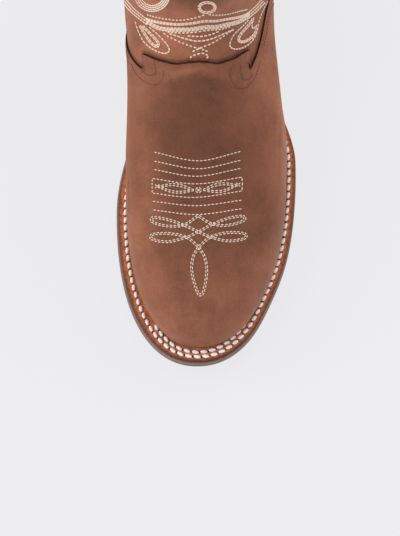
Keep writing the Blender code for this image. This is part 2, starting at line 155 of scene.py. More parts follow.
# Sides of the sole, its lugs and the heel from the floor up: inset of the edge and share of the height
SideStep = namedtuple("SideStep", "inset share")
SOLE_SIDE = (
    SideStep(0.0014, 0.40),
    SideStep(0.0020, 0.47),
    SideStep(0.0020, 0.52),
    SideStep(0.0000, 0.56),
    SideStep(0.0000, 0.70),
    SideStep(0.0003, 0.72),
    SideStep(0.0000, 0.74),
    SideStep(0.0000, 0.88),
    SideStep(0.0008, 1.00),
)
LUG_SECTION = (
    SideStep(0.0036, 0.0),
    SideStep(0.0024, 0.06),
    SideStep(0.0013, 0.44),
    SideStep(LUG_INSIDE, 0.44),
    SideStep(LUG_INSIDE, 0.0),
)
HEEL_SIDE = (
    SideStep(HEEL_TAPER * 0.90, LUG_DEPTH / HEEL_RISE),
    SideStep(HEEL_TAPER * 0.55, 0.40),
    SideStep(HEEL_TAPER * 0.36, 0.62),
    SideStep(HEEL_TAPER * 0.42, 0.64),
    SideStep(HEEL_TAPER * 0.30, 0.66),
    SideStep(0.0006, 1.0),
)

# Sections of the upper from the feather edge to the collar
Section = namedtuple(
    "Section",
    "front front_rise back back_rise full_inner full_outer full_heel leg swell"
    " leg_inner leg_outer front_power back_power",
)
SECTIONS = (
    Section(0.0120, 0.0000, 0.2995, 0.000, 0.093, 0.120, 0.256, 0.00, 0.0000, 0.0432, 0.0455, 2.15, 2.30),
    Section(0.0110, 0.0085, 0.3013, 0.008, 0.094, 0.121, 0.254, 0.10, 0.0015, 0.0432, 0.0455, 2.20, 2.30),
    Section(0.0124, 0.0175, 0.3022, 0.017, 0.096, 0.122, 0.252, 0.22, 0.0020, 0.0432, 0.0455, 2.20, 2.30),
    Section(0.0190, 0.0260, 0.3020, 0.025, 0.103, 0.126, 0.250, 0.36, 0.0018, 0.0432, 0.0455, 2.12, 2.30),
    Section(0.0340, 0.0350, 0.3005, 0.033, 0.119, 0.136, 0.247, 0.50, 0.0014, 0.0432, 0.0445, 2.00, 2.25),
    Section(0.0610, 0.0450, 0.2983, 0.042, 0.142, 0.153, 0.243, 0.64, 0.0008, 0.0432, 0.0440, 1.88, 2.20),
    Section(0.0910, 0.0555, 0.2960, 0.051, 0.165, 0.171, 0.238, 0.76, 0.0003, 0.0432, 0.0425, 1.82, 2.20),
    Section(0.1160, 0.0675, 0.2937, 0.060, 0.185, 0.189, 0.233, 0.87, 0.0000, 0.0430, 0.0386, 1.80, 2.15),
    Section(0.1380, 0.0825, 0.2915, 0.070, 0.205, 0.206, 0.228, 0.95, 0.0000, 0.0430, 0.0352, 1.80, 2.10),
    Section(0.1520, 0.0990, 0.2898, 0.083, 0.217, 0.218, 0.223, 1.00, 0.0000, 0.0440, 0.0338, 1.86, 2.05),
    Section(0.1595, 0.1220, 0.2890, 0.104, 0.222, 0.222, 0.222, 1.00, 0.0000, 0.0446, 0.0342, 1.98, 2.05),
    Section(0.1630, 0.1620, 0.2895, 0.143, 0.225, 0.225, 0.225, 1.00, 0.0000, 0.0448, 0.0362, 2.08, 2.10),
    Section(0.1630, 0.2120, 0.2920, 0.193, 0.228, 0.228, 0.228, 1.00, 0.0000, 0.0450, 0.0386, 2.10, 2.10),
    Section(0.1615, 0.2645, 0.2960, 0.245, 0.229, 0.229, 0.229, 1.00, 0.0000, 0.0452, 0.0410, 2.10, 2.10),
    Section(0.1600, 0.3070, 0.2985, 0.287, 0.2295, 0.2295, 0.2295, 1.00, 0.0, 0.0452, 0.0420, 2.10, 2.10),
)
COLLAR_LEVEL = len(SECTIONS) - 1.0

# Upper edge of the vamp and the counter: the turn round the boot and the height there
Edging = namedtuple("Edging", "turn height")
TOP_EDGE = (
    Edging(0.000, 0.1104),
    Edging(0.050, 0.1090),
    Edging(0.100, 0.1060),
    Edging(0.154, 0.1037),
    Edging(0.200, 0.1008),
    Edging(0.235, 0.0978),
    Edging(0.243, 0.0966),
    Edging(0.247, 0.0935),
    Edging(0.251, 0.0910),
    Edging(0.262, 0.0905),
    Edging(0.330, 0.0875),
    Edging(0.400, 0.0845),
    Edging(0.475, 0.0810),
    Edging(0.540, 0.0770),
    Edging(0.590, 0.0740),
    Edging(0.660, 0.0730),
    Edging(0.740, 0.0755),
    Edging(0.840, 0.0830),
    Edging(0.930, 0.0890),
    Edging(1.000, 0.0915),
)
# How much higher the wing of the vamp reaches on the outer side
OUTER_RISE = (
    Edging(0.262, 0.0000),
    Edging(0.290, 0.0018),
    Edging(0.330, 0.0048),
    Edging(0.400, 0.0100),
    Edging(0.450, 0.0105),
    Edging(0.520, 0.0065),
    Edging(0.590, 0.0000),
)
# Heights and turns over which the tongue's corners lean
LEAN_FROM = 0.0905
LEAN_TO = 0.0966
LEAN_FROM_TURN = 0.17
LEAN_GROWS_OVER = 0.073
LEAN_ENDS_OVER = 0.004
LEAN_END_TURN = 0.251
# Where the painted shadow line along the outer wing's edge fades, and by how much
SOFT_GAP = 0.0009
SOFT_GAP_ACROSS = 0.015
SOFT_GAP_FROM = 0.162
SOFT_GAP_OVER = 0.014
# Height of the edge at the side seam, and the notches' turns
SEAM_HEIGHT = 0.0740
NOTCH_FROM = 0.228
NOTCH_TO = 0.268

# Creases: turn and height of the middle, half length in turns, tilt in metres of
# height for each turn, half width in metres, and depth, negative for a ridge
Crease = namedtuple("Crease", "turn height reach tilt width depth")
SHAFT_CREASES = (
    Crease(0.000, 0.1330, 0.230, 0.000, 0.0065, 0.0010),
    Crease(0.350, 0.1400, 0.180, 0.060, 0.0080, 0.0012),
    Crease(-0.520, 0.1080, 0.120, 0.030, 0.0060, 0.0012),
    Crease(0.540, 0.1120, 0.120, -0.030, 0.0060, 0.0012),
    Crease(0.860, 0.1200, 0.130, 0.020, 0.0070, 0.0012),
    Crease(-0.840, 0.1380, 0.130, -0.030, 0.0080, 0.0010),
    Crease(0.700, 0.1650, 0.160, 0.040, 0.0110, -0.0012),
    Crease(-0.680, 0.1850, 0.160, -0.050, 0.0120, -0.0012),
    Crease(-0.530, 0.0750, 0.060, 0.000, 0.0320, -0.0016),
)
VAMP_CREASES = (
    Crease(0.020, 0.1062, 0.150, -0.040, 0.0010, -0.0010),
    Crease(0.020, 0.1036, 0.150, -0.040, 0.0020, 0.0008),
    Crease(-0.530, 0.0750, 0.060, 0.000, 0.0320, -0.0016),
    Crease(-0.330, 0.0560, 0.070, -0.160, 0.0045, 0.0006),
    Crease(0.330, 0.0560, 0.070, 0.160, 0.0045, 0.0006),
    Crease(0.000, 0.0720, 0.120, 0.060, 0.0060, 0.0005),
)
# Share of a panel's height over which its creases come in, and the levels of the shaft from which it
# is creased and over which the creases die out under the collar
CREASE_FADE = 0.25
CREASED_FROM_LEVEL = 5.0
COLLAR_SMOOTH_LEVELS = 0.6
# Soft bulge of the shaft over the edge of the vamp and counter, at the sides and the back
BULGE_OVER_EDGE = 0.0012
BULGE_REACH = 0.0120
BULGE_MIDDLE = 0.006
BULGE_BELOW = 0.010
BULGE_FROM_TURN = 0.20
BULGE_GROWS_OVER = 0.12

# Spots placed one by one on the leather, partly its own tone and partly painted light and shade: the
# darker middle of the vamp and of the shaft's front is painted shade, and the lighter flanks and the
# light ridge just below the tongue's edge are painted highlights. Each gives its place across the boot
# and along it, half sizes both ways, and how much lighter or darker the leather is there. Along means
# the station on the panels, and the height on the shaft
Spot = namedtuple("Spot", "across along wide long share")
PANEL_TONE_AND_PAINTED_LIGHT_SPOTS = (
    Spot(0.000, 0.084, 0.030, 0.026, -0.06),
    Spot(-0.002, 0.1495, 0.024, 0.0036, 0.22),
    Spot(-0.003, 0.1458, 0.021, 0.0018, 0.42),
    Spot(0.000, 0.134, 0.038, 0.036, -0.45),
    Spot(0.002, 0.084, 0.030, 0.034, -0.27),
    Spot(-0.004, 0.046, 0.022, 0.018, -0.22),
    Spot(0.014, 0.066, 0.010, 0.012, -0.08),
    Spot(-0.016, 0.100, 0.012, 0.010, -0.07),
    Spot(0.016, 0.020, 0.014, 0.010, -0.02),
    Spot(-0.042, 0.072, 0.013, 0.034, 0.20),
    Spot(-0.018, 0.016, 0.014, 0.010, 0.07),
    Spot(0.031, 0.086, 0.018, 0.034, -0.20),
    Spot(0.044, 0.145, 0.014, 0.036, 0.30),
    Spot(-0.040, 0.160, 0.018, 0.030, 0.06),
    Spot(0.036, 0.185, 0.016, 0.026, 0.08),
)
SHAFT_TONE = 1.05
# On the shaft's front: painted highlights on its left and painted shade in its middle
SHAFT_TONE_AND_PAINTED_LIGHT_SPOTS = (
    Spot(-0.032, 0.135, 0.014, 0.036, 0.22),
    Spot(-0.014, 0.122, 0.018, 0.014, 0.22),
    Spot(0.002, 0.142, 0.030, 0.009, 0.16),
    Spot(-0.004, 0.165, 0.026, 0.012, -0.50),
    Spot(0.022, 0.124, 0.012, 0.014, -0.08),
)
# The shaft's spots lie in front of this Y
SHAFT_SPOTS_END = 0.055
# Painted sheen highlight: a light line along the lower edge of the panels
LOWER_EDGE_SHEEN = 0.30
LOWER_EDGE_SHEEN_REACH = 0.0036

# The camera of the photo, whose image is 400 by 536 pixels
IMAGE_WIDE = 400
IMAGE_HIGH = 536
SENSOR_MM = 36.0
CAMERA_ELEVATION = 67.35
CAMERA_AZIMUTH = 0.69
CAMERA_DISTANCE = 1.5529
CAMERA_FOCAL_PIXELS = 2687.9
CAMERA_TARGET = Vector((-0.0042, -0.1010, 0.0400))

# A mark is a place in the photo, in pixels across and down
Mark = namedtuple("Mark", "across down")

# Straight rows over the vamp, each from the inner side over the middle to the outer side
VAMP_ROWS = (
    (Mark(154.1, 152.1), Mark(198.5, 160.8), Mark(240.8, 151.4)),
    (Mark(154.1, 161.1), Mark(198.5, 168.7), Mark(240.8, 160.3)),
    (Mark(154.1, 169.5), Mark(196.4, 176.3), Mark(240.8, 168.4)),
    (Mark(152.5, 178.5), Mark(196.4, 183.9), Mark(241.9, 177.2)),
    (Mark(152.5, 193.1), Mark(194.2, 197.5), Mark(241.9, 191.0)),
    (Mark(152.5, 201.3), Mark(196.4, 205.7), Mark(241.9, 200.2)),
    (Mark(153.0, 209.9), Mark(196.4, 214.6), Mark(241.9, 208.8)),
)
BAND_ENDS = (
    (Mark(152.5, 178.5), Mark(152.3, 186.0), Mark(152.5, 193.1)),
    (Mark(241.9, 177.2), Mark(242.3, 184.0), Mark(241.9, 191.0)),
)
# Lens loops, leaves and rings: one end, the other end, and the greatest half width of the lens
Lens = namedtuple("Lens", "start end half_width")
BAND_LENSES = (
    Lens(Mark(157.5, 186.6), Mark(194.5, 190.3), 4.7),
    Lens(Mark(161.0, 187.0), Mark(190.5, 190.0), 2.7),
    Lens(Mark(202.5, 190.1), Mark(237.5, 185.2), 4.7),
    Lens(Mark(206.5, 189.7), Mark(234.0, 185.8), 2.7),
)
BAND_RINGS = (
    Lens(Mark(195.4, 190.2), Mark(201.6, 190.0), 3.1),
    Lens(Mark(197.0, 190.2), Mark(200.0, 190.0), 1.6),
)
BAND_CROSSES = (
    (Mark(154.8, 184.2), Mark(159.8, 188.6)),
    (Mark(154.8, 188.6), Mark(159.8, 184.2)),
    (Mark(235.6, 182.5), Mark(240.6, 186.9)),
    (Mark(235.6, 186.9), Mark(240.6, 182.5)),
)
# Leaves of the toe stitching, each a loop from a crossing round the tip and back
TOE_LEAVES = (
    (
        Mark(198.2, 215.8), Mark(184.0, 225.0), Mark(167.0, 226.0), Mark(152.0, 221.6),
        Mark(152.0, 217.6), Mark(167.0, 219.4), Mark(184.0, 225.2), Mark(198.6, 231.9),
    ),
    (
        Mark(198.2, 215.8), Mark(212.4, 224.2), Mark(228.5, 225.2), Mark(244.4, 220.2),
        Mark(244.4, 216.4), Mark(229.5, 218.0), Mark(212.4, 224.4), Mark(198.6, 231.9),
    ),
    (
        Mark(198.6, 231.9), Mark(186.4, 237.4), Mark(167.0, 241.8), Mark(151.4, 238.8),
        Mark(151.4, 234.9), Mark(167.0, 233.4), Mark(186.4, 237.2), Mark(198.6, 246.9),
    ),
    (
        Mark(198.6, 231.9), Mark(210.7, 237.2), Mark(228.5, 241.0), Mark(245.6, 238.0),
        Mark(245.6, 234.0), Mark(228.5, 232.6), Mark(210.7, 237.0), Mark(198.6, 246.9),
    ),
    (
        Mark(198.6, 246.9), Mark(193.2, 257.0), Mark(191.9, 272.0), Mark(198.6, 294.6),
        Mark(202.4, 294.6), Mark(206.8, 272.0), Mark(204.6, 257.0), Mark(198.6, 246.9),
    ),
)
DOUBLE_ROW_APART = 1.7

# Dark rows beside the notches of the tongue
DARK_ROWS = (
    (
        Mark(163.0, 70.5), Mark(163.0, 77.0), Mark(158.8, 83.5), Mark(152.0, 84.8), Mark(142.5, 80.5),
        Mark(135.0, 72.5), Mark(131.0, 63.5),
    ),
    (
        Mark(231.2, 67.5), Mark(230.8, 77.5), Mark(235.0, 86.2), Mark(239.0, 88.6), Mark(246.2, 87.4),
        Mark(252.5, 81.2), Mark(257.5, 71.2), Mark(260.5, 61.0),
    ),
    (Mark(153.5, 60.0), Mark(155.2, 66.0), Mark(155.4, 73.5), Mark(150.0, 75.4), Mark(141.5, 71.4)),
    (Mark(240.2, 64.0), Mark(240.6, 72.0), Mark(243.0, 79.0), Mark(248.0, 79.4), Mark(253.5, 74.0)),
)

# Embroidery of the shaft's front that the photo shows: how many rows lie side by side, how far
# apart in pixels, how much of its length each stitch fills, and the line of marks
Sewn = namedtuple("Sewn", "rows apart fill marks")
SHAFT_ROWS = (
    Sewn(1, 0.0, 0.70, (
        Mark(147.0, 14.4), Mark(157.0, 17.2), Mark(168.0, 19.1), Mark(179.3, 20.0),
        Mark(189.3, 18.9), Mark(200.4, 16.1), Mark(205.0, 14.2),
    )),
    Sewn(1, 0.0, 0.70, (
        Mark(208.0, 14.2), Mark(216.0, 15.0), Mark(227.0, 14.2), Mark(238.2, 11.4), Mark(247.0, 9.4),
    )),
    Sewn(2, 1.3, 1.08, (
        Mark(146.0, 18.6), Mark(153.8, 21.1), Mark(166.0, 23.3), Mark(179.3, 24.1), Mark(193.8, 22.8),
        Mark(205.0, 20.8), Mark(216.0, 20.8), Mark(227.0, 18.9), Mark(240.4, 16.7), Mark(249.3, 12.8),
    )),
    Sewn(3, 1.4, 1.08, (
        Mark(147.0, 21.1), Mark(157.0, 27.2), Mark(166.0, 29.1), Mark(178.2, 29.4), Mark(191.6, 29.1),
        Mark(205.0, 27.0), Mark(216.0, 26.7), Mark(227.0, 24.4), Mark(238.2, 21.7), Mark(249.3, 15.6),
    )),
    Sewn(1, 0.0, 0.78, (
        Mark(167.0, 31.8), Mark(178.2, 32.6), Mark(192.7, 32.2), Mark(206.6, 30.2), Mark(220.4, 29.1),
        Mark(230.0, 26.4),
    )),
    Sewn(1, 0.0, 0.80, (Mark(187.0, 35.6), Mark(202.7, 36.1), Mark(213.8, 33.3), Mark(219.0, 30.8))),
    Sewn(1, 0.0, 0.95, (
        Mark(169.3, 33.3), Mark(178.2, 36.1), Mark(187.0, 38.9), Mark(196.0, 40.9), Mark(205.0, 40.2),
        Mark(213.8, 37.8), Mark(222.7, 33.9), Mark(232.7, 29.4),
    )),
    Sewn(1, 0.0, 0.74, (
        Mark(163.0, 32.4), Mark(168.2, 36.1), Mark(174.9, 39.4), Mark(185.4, 43.9), Mark(194.9, 47.2),
        Mark(200.4, 48.3), Mark(208.0, 51.4),
    )),
    Sewn(1, 0.0, 0.74, (
        Mark(234.0, 29.0), Mark(227.0, 33.3), Mark(221.6, 37.2), Mark(211.6, 43.1), Mark(200.4, 47.8),
        Mark(192.0, 51.6),
    )),
    Sewn(1, 0.0, 0.78, (
        Mark(189.9, 58.3), Mark(191.6, 56.1), Mark(197.0, 54.1), Mark(202.0, 52.8), Mark(207.0, 54.7),
        Mark(208.4, 56.7), Mark(206.0, 58.7),
    )),
    Sewn(1, 0.0, 0.95, (
        Mark(135.4, 21.1), Mark(138.2, 30.0), Mark(143.8, 41.1), Mark(151.6, 48.3), Mark(160.4, 52.4),
        Mark(166.6, 53.2), Mark(169.9, 50.0), Mark(168.2, 45.6), Mark(162.7, 38.9), Mark(157.0, 33.3),
        Mark(149.3, 26.7),
    )),
    Sewn(2, 1.5, 1.08, (
        Mark(140.0, 25.0), Mark(145.5, 34.5), Mark(151.7, 43.0), Mark(156.8, 46.6), Mark(159.4, 44.6),
        Mark(157.0, 40.0), Mark(149.3, 32.2), Mark(142.7, 25.6),
    )),
    Sewn(1, 0.0, 0.95, (
        Mark(258.2, 23.3), Mark(256.0, 33.3), Mark(251.6, 41.1), Mark(243.8, 47.2), Mark(234.9, 49.1),
        Mark(229.8, 46.7), Mark(229.8, 42.2), Mark(233.8, 34.4), Mark(241.6, 26.7), Mark(248.2, 20.0),
    )),
    Sewn(2, 1.5, 1.08, (
        Mark(257.0, 27.0), Mark(254.6, 33.4), Mark(248.6, 39.4), Mark(241.6, 42.0), Mark(238.0, 40.4),
        Mark(238.7, 36.6), Mark(242.7, 31.1), Mark(249.3, 23.9), Mark(252.6, 18.6),
    )),
    Sewn(1, 0.0, 1.05, (Mark(253.8, 16.7), Mark(251.4, 25.6), Mark(252.4, 29.0), Mark(257.0, 24.6))),
    Sewn(3, 2.2, 1.02, (Mark(125.0, 1.0), Mark(132.7, 10.0), Mark(142.7, 18.3), Mark(149.0, 23.0))),
    Sewn(3, 2.2, 1.02, (Mark(263.0, 1.0), Mark(255.0, 9.6), Mark(246.0, 17.0))),
    Sewn(1, 0.0, 0.75, (Mark(267.6, 1.0), Mark(264.0, 8.0), Mark(260.6, 15.0), Mark(258.2, 23.3))),
    Sewn(2, 1.5, 1.08, (
        Mark(198.9, 7.2), Mark(201.5, 3.3), Mark(207.0, 2.2), Mark(212.6, 3.3), Mark(215.2, 7.2),
        Mark(212.6, 11.2), Mark(207.0, 12.4), Mark(201.5, 11.2), Mark(198.9, 7.2),
    )),
    Sewn(4, 1.9, 1.08, (
        Mark(137.5, -4.0), Mark(141.5, 3.5), Mark(148.0, 7.6), Mark(155.5, 8.0), Mark(162.5, 4.5),
        Mark(166.5, -2.0), Mark(166.0, -10.0), Mark(160.0, -16.0), Mark(152.0, -18.5), Mark(144.0, -16.0),
        Mark(138.5, -10.0), Mark(137.5, -4.0),
    )),
)

# Embroidery above what the photo shows and on the back, as nested arches and leaves: the height of the
# foot, the greatest turn aside, and the rise to the tip
Motif = namedtuple("Motif", "base spread rise")
ARCHES = (
    Motif(0.206, 0.30, 0.070),
    Motif(0.214, 0.24, 0.056),
    Motif(0.222, 0.18, 0.042),
    Motif(0.230, 0.11, 0.026),
)
ARCH_WAVE = 0.006
ARCH_ASIDE_POWER = 0.8
ARCH_RISE_POWER = 1.6
LEAVES = (
    Motif(0.110, 0.22, 0.070),
    Motif(0.122, 0.16, 0.052),
    Motif(0.134, 0.10, 0.034),
)
LEAF_NARROWS = 0.3
MOTIF_ROW_APART = 0.0022

# Stitches: share of the pitch that one fills, its width and height, and the share that is sunk in
Sewing = namedtuple("Sewing", "fill width height sink")
WELT_SEWING = Sewing(0.90, 0.0024, 0.0014, 0.25)
# Dark marks of painted shade in the holes between the welt's stitches
WELT_HOLE_SHADING = Sewing(0.22, 0.0017, 0.0012, 0.40)
VAMP_SEWING = Sewing(0.80, 0.00074, 0.0006, 0.25)
# Dark strips of painted shade in the grooves under the vamp's stitches
VAMP_GROOVE_SHADING = Sewing(1.04, 0.0007, 0.0004, 0.42)
EDGE_SEWING = Sewing(0.72, 0.0006, 0.0005, 0.25)
DARK_ROW_SEWING = Sewing(0.68, 0.0007, 0.0005, 0.25)
SHAFT_SEWING = Sewing(0.92, 0.0011, 0.0008, 0.25)
DARK_ROW_PITCH = 0.0018
SHAFT_PITCH = 0.0024
WELT_SLANT = -11.0

# Where the other rows run: the welt's ends, the toe's second row, and the rows along the panels' edges,
# the side seams and the collar
WELT_ROW_END = 0.004
INNER_ROW_TURNS = (-0.172, 0.290)
PANEL_ROWS_BELOW = (0.0024, 0.0052)
WING_ROW_TURNS = ((-0.575, -0.345), (0.345, 0.575))
COUNTER_ROW_TURNS = (0.605, 1.395)
SEAM_ROW_ASIDE = 0.0045
SEAM_ROW_START = 0.15
COLLAR_ROWS_BELOW = (0.0040, 0.0075)
# Rows are laid out this far off a piece and then drawn onto it
OFF_PANEL = 0.001
OFF_SHAFT = 0.002
SNAP_INSIDE = 0.003

# Steps of the meshes
SHAFT_COLUMNS = 220
SHAFT_RINGS = 132
VAMP_RINGS = 124
VAMP_STEP = 0.0052
VAMP_LAST_STEP = 0.002
NOTCH_STEP = 0.0010
COUNTER_COLUMNS = 150
COUNTER_RINGS = 44
WELT_STEPS = 320
SOLE_STEPS = 150
SEAT_CLEAR_TURN = 0.002
LUG_STEPS = 5
LUG_SEARCH_STEPS = 600
BAR_STEPS = 6
HEEL_STEPS = 60
HEEL_BAR_STEPS = 12
PIPING_STEPS = 90
PIPING_SIDES = 8

# Steps of the stitch rows
VAMP_ROW_STEPS = 40
BAND_END_STEPS = 10
LENS_STEPS = 24
RING_STEPS = 12
LEAF_STEPS = 90
SHAFT_ROW_STEPS = 60
MOTIF_STEPS = 40
WELT_ROW_STEPS = 500
PANEL_ROW_STEPS = 120
SEAM_ROW_STEPS = 160
COLLAR_ROW_STEPS = 300

# Small steps for directions on the upper, and limits for places found by search and for merging
TURN_STEP = 0.004
LEVEL_STEP = 0.05
LEVEL_PARTS = 1000.0
LEVEL_HALVINGS = 24
SEAM_TURN_STEP = 0.01
SEAM_LEVEL_STEP = 0.1
EDGE_PLACES = 3000
OVERLAY_START_LIMIT = 0.4
OVERLAY_START_STEP = 0.02
INSIDE_FOOT = Vector((AXIS_X, 0.05, 0.05))
MERGE_WITHIN = 1e-6
DISSOLVE_WITHIN = 1e-7
SHORTEST_STITCH = 1e-6
SHORTEST_SPAN = 1e-9

# Softened edges: width, and the angle in degrees from which an edge is softened
Softening = namedtuple("Softening", "width angle")
SHAFT_EDGES = Softening(0.0008, 50.0)
PANEL_EDGES = Softening(0.0003, 50.0)
WELT_EDGES = Softening(0.00025, 30.0)
RUBBER_EDGES = Softening(0.0003, 35.0)

# Leathers and rubber: the light and the dark tone as shares of a colour setting, the scales of the
# patches and the grain, the contrast, the relief, the sheen, the dark edge, and whether tones are placed.
# The dark edge is painted shade of the gap on the shaft and partly so on the panels, and the placed
# tones hold painted light and shade
Tone = namedtuple("Tone", "setting share")
DarkEdge = namedtuple("DarkEdge", "reach depth")
Hide = namedtuple(
    "Hide", "name light dark patch grain contrast relief sheen edge toned", defaults=(None, False)
)
BROWN = Hide(
    "brown_leather", Tone("leather_light", 1.0), Tone("leather_dark", 1.0), 40.0, 1000.0, 2.3, 0.36, 0.22
)
BROWN_EDGE_SHADED = BROWN._replace(name="brown_leather_edged", toned=True)
HIDES = {
    # On the shaft the dark edge is painted shade of the gap under the vamp's and counter's edge
    "shaft": BROWN_EDGE_SHADED._replace(edge=DarkEdge(0.0027, 0.66)),
    # On the panels the dark edge is partly painted shade of that gap
    "panel": BROWN_EDGE_SHADED._replace(edge=DarkEdge(0.0008, 0.55)),
    "piping": BROWN,
    # Dark cut edge of the panels, partly painted shade of the gap under their top edge
    "cut_edge": Hide(
        "cut_edge", Tone("dark_thread", 0.45), Tone("dark_thread", 0.225), 60.0, 900.0, 1.0, 0.3, 0.0
    ),
    "lining": Hide(
        "lining_leather", Tone("lining", 1.0), Tone("lining", 0.72), 16.0, 700.0, 0.7, 0.2, 0.1
    ),
    "welt": Hide(
        "welt_leather", Tone("welt", 1.42), Tone("welt", 0.58), 430.0, 900.0, 2.8, 0.5, 0.0,
        DarkEdge(0.0017, 0.80),
    ),
    "rubber": Hide(
        "sole_rubber", Tone("rubber", 1.25), Tone("rubber", 0.75), 30.0, 1300.0, 0.5, 0.2, 0.15
    ),
    "board": Hide(
        "insole_board", Tone("lining", 1.1), Tone("lining", 0.8), 40.0, 900.0, 0.8, 0.25, 0.0
    ),
}
CLOUD_STRETCH = (1.0, 0.35, 0.6)
CLOUD_SCALE = 170.0
CLOUD_SHARE = 0.9
CLOUD_RELIEF = 0.6
GRAIN_SHARE = 1.2
PORE_SCALE = 1100.0
PORE_RELIEF = 0.5
HIDE_ROUGHNESS = (0.72, 0.92)
HIDE_RELIEF_DEPTH = 0.0004
HIDE_SHEEN = (1.0, 0.60, 0.42, 1.0)
# Colour that the dark edges go to, painted shade of the gap on the shaft
DARK_EDGE_AND_GAP_SHADE = (0.030, 0.012, 0.008, 1.0)

# Threads, and the painted shade of the holes and grooves that they lie in: the light and the dark tone
Thread = namedtuple("Thread", "name light dark")
THREADS = {
    "thread": Thread("cream_thread", Tone("thread", 1.0), Tone("thread", 0.78)),
    "shaft_thread": Thread("soft_thread", Tone("shaft_thread", 1.0), Tone("shaft_thread", 0.88)),
    "welt_thread": Thread("white_thread", Tone("welt_thread", 1.0), Tone("welt_thread", 0.94)),
    "dark_thread": Thread("brown_thread", Tone("dark_thread", 1.0), Tone("dark_thread", 0.6)),
    "hole": Thread("awl_hole", Tone("dark_thread", 0.25), Tone("dark_thread", 0.125)),
    "groove": Thread("sewn_groove", Tone("leather_dark", 0.62), Tone("leather_dark", 0.434)),
}
FUZZ_SCALE = 1600.0
FUZZ_RELIEF = 0.4
FUZZ_RELIEF_DEPTH = 0.0002

# Stage: the half size of the floor, the sky, and the suns with the direction they stand in
Sun = namedtuple("Sun", "name towards strength spread")
SUNS = (
    Sun("key", (-0.75, -0.10, 0.65), 1.25, 55.0),
    Sun("fill", (0.70, 0.30, 0.60), 0.62, 80.0),
)
SKY_STRENGTH = 0.64
FLOOR_SIZE = 6.0
FLOOR_COLOUR = (0.10, 0.10, 0.10, 1.0)
FLOOR_GLOW = (0.752, 0.752, 0.768, 1.0)


def ease(share):
    """Smooth step from 0 to 1 with flat ends."""
    share = min(max(share, 0.0), 1.0)
    return 0.5 - 0.5 * math.cos(math.pi * share)


def mix(first, second, share):
    return first + (second - first) * share


def between(first, last, steps):
    """Evenly spaced values from the first to the last."""
    return [mix(first, last, index / steps) for index in range(steps + 1)]


def bell(away, aside=0.0):
    """Bell curve: 1 in the middle and about a third one reach away from it."""
    return math.exp(-away * away - aside * aside)


def rounding(share, power):
    """Quarter of a superellipse: 0 at the end, 1 where the full width is reached."""
    away = 1.0 - min(max(share, 0.0), 1.0)
    return max(0.0, 1.0 - away ** power) ** (1.0 / power)


def through(points, places, where):
    """Smooth curve through values given at rising places."""
    last = len(places) - 1
    low = 0
    while low < last - 1 and where > places[low + 1]:
        low += 1
    span = places[low + 1] - places[low]
    share = min(max((where - places[low]) / span, 0.0), 1.0)
    slopes = []
    for index in (low, low + 1):
        before = max(index - 1, 0)
        after = min(index + 1, last)
        slopes.append((points[after] - points[before]) / (places[after] - places[before]) * span)
    square = share * share
    cube = square * share
    return (
        (2 * cube - 3 * square + 1) * points[low]
        + (cube - 2 * square + share) * slopes[0]
        + (3 * square - 2 * cube) * points[low + 1]
        + (cube - square) * slopes[1]
    )


# Heights along the sole


def shank_share(station):
    return ease((station - SHANK_FROM) / (SHANK_TO - SHANK_FROM))


def tread_line(station):
    """Height of the outsole's underside."""
    lift = max(0.0, (SPRING_FROM - station) / SPRING_FROM)
    return TOE_SPRING * lift * lift + HEEL_RISE * shank_share(station)


def sole_top(station):
    """Height of the outsole's upper face under the welt."""
    return tread_line(station) + mix(FOREFOOT_SOLE, SHANK_SOLE, shank_share(station))


def feather_line(station):
    """Height of the upper's lower edge."""
    return sole_top(station) + WELT_THICK + 2 * GAP


# Outlines in plan


def station_at(place):
    """Distance of a place back from the toe's tip."""
    return place.y + SOLE_LENGTH / 2


def edge_half(edge, station):
    """Half width of the outsole before its ends are rounded."""
    if station < edge.ball_at:
        return edge.ball - edge.toe_trim * bell((station - TOE_TRIM_AT) / TOE_TRIM_REACH)
    if station < edge.waist_at:
        share = (station - edge.ball_at) / (edge.waist_at - edge.ball_at)
        return mix(edge.ball, edge.waist, ease(share))
    share = (station - edge.waist_at) / (edge.heel_at - edge.waist_at)
    return mix(edge.waist, edge.heel, ease(share))


def side_of(turn):
    return INNER if turn < 0.0 else OUTER


def wrapped(turn):
    """The same place with its turn between -1 and 1."""
    if turn > 1.0:
        return turn - 2.0
    if turn < -1.0:
        return turn + 2.0
    return turn


def station_of(turn):
    return SOLE_LENGTH * (1.0 - math.cos(math.pi * abs(turn))) / 2


def turn_of(station):
    return math.acos(1.0 - 2.0 * station / SOLE_LENGTH) / math.pi


def outline_raw(turn):
    """Point of the outsole's outline."""
    turn = wrapped(turn)
    edge = side_of(turn)
    station = station_of(turn)
    centre = TOE_TIP_X if station < edge.waist_at else HEEL_BACK_X
    toe = rounding(station / edge.ball_at, edge.toe_power)
    heel = rounding((SOLE_LENGTH - station) / HEEL_ROUND, HEEL_POWER)
    across = centre + (edge.sign * edge_half(edge, station) - centre) * toe * heel
    return Vector((AXIS_X + across, station - SOLE_LENGTH / 2, 0.0))


def outline(turn, inset):
    """Point of the outsole's outline moved inwards in plan."""
    along = outline_raw(turn + TURN_STEP) - outline_raw(turn - TURN_STEP)
    inward = Vector((-along.y, along.x, 0.0)).normalized()
    return outline_raw(turn) + inward * inset


def upper_inset(station):
    stations, widths = zip(*UPPER_INSETS)
    return through(widths, stations, min(max(station, stations[0]), stations[-1]))


# Surface of the upper


@lru_cache(maxsize=None)
def rounded_section(step):
    places = list(range(len(SECTIONS)))
    return Section(*[through(column, places, step / LEVEL_PARTS) for column in zip(*SECTIONS)])


def section_at(level):
    """Section of the upper at a level, kept for every thousandth of one."""
    return rounded_section(round(level * LEVEL_PARTS))


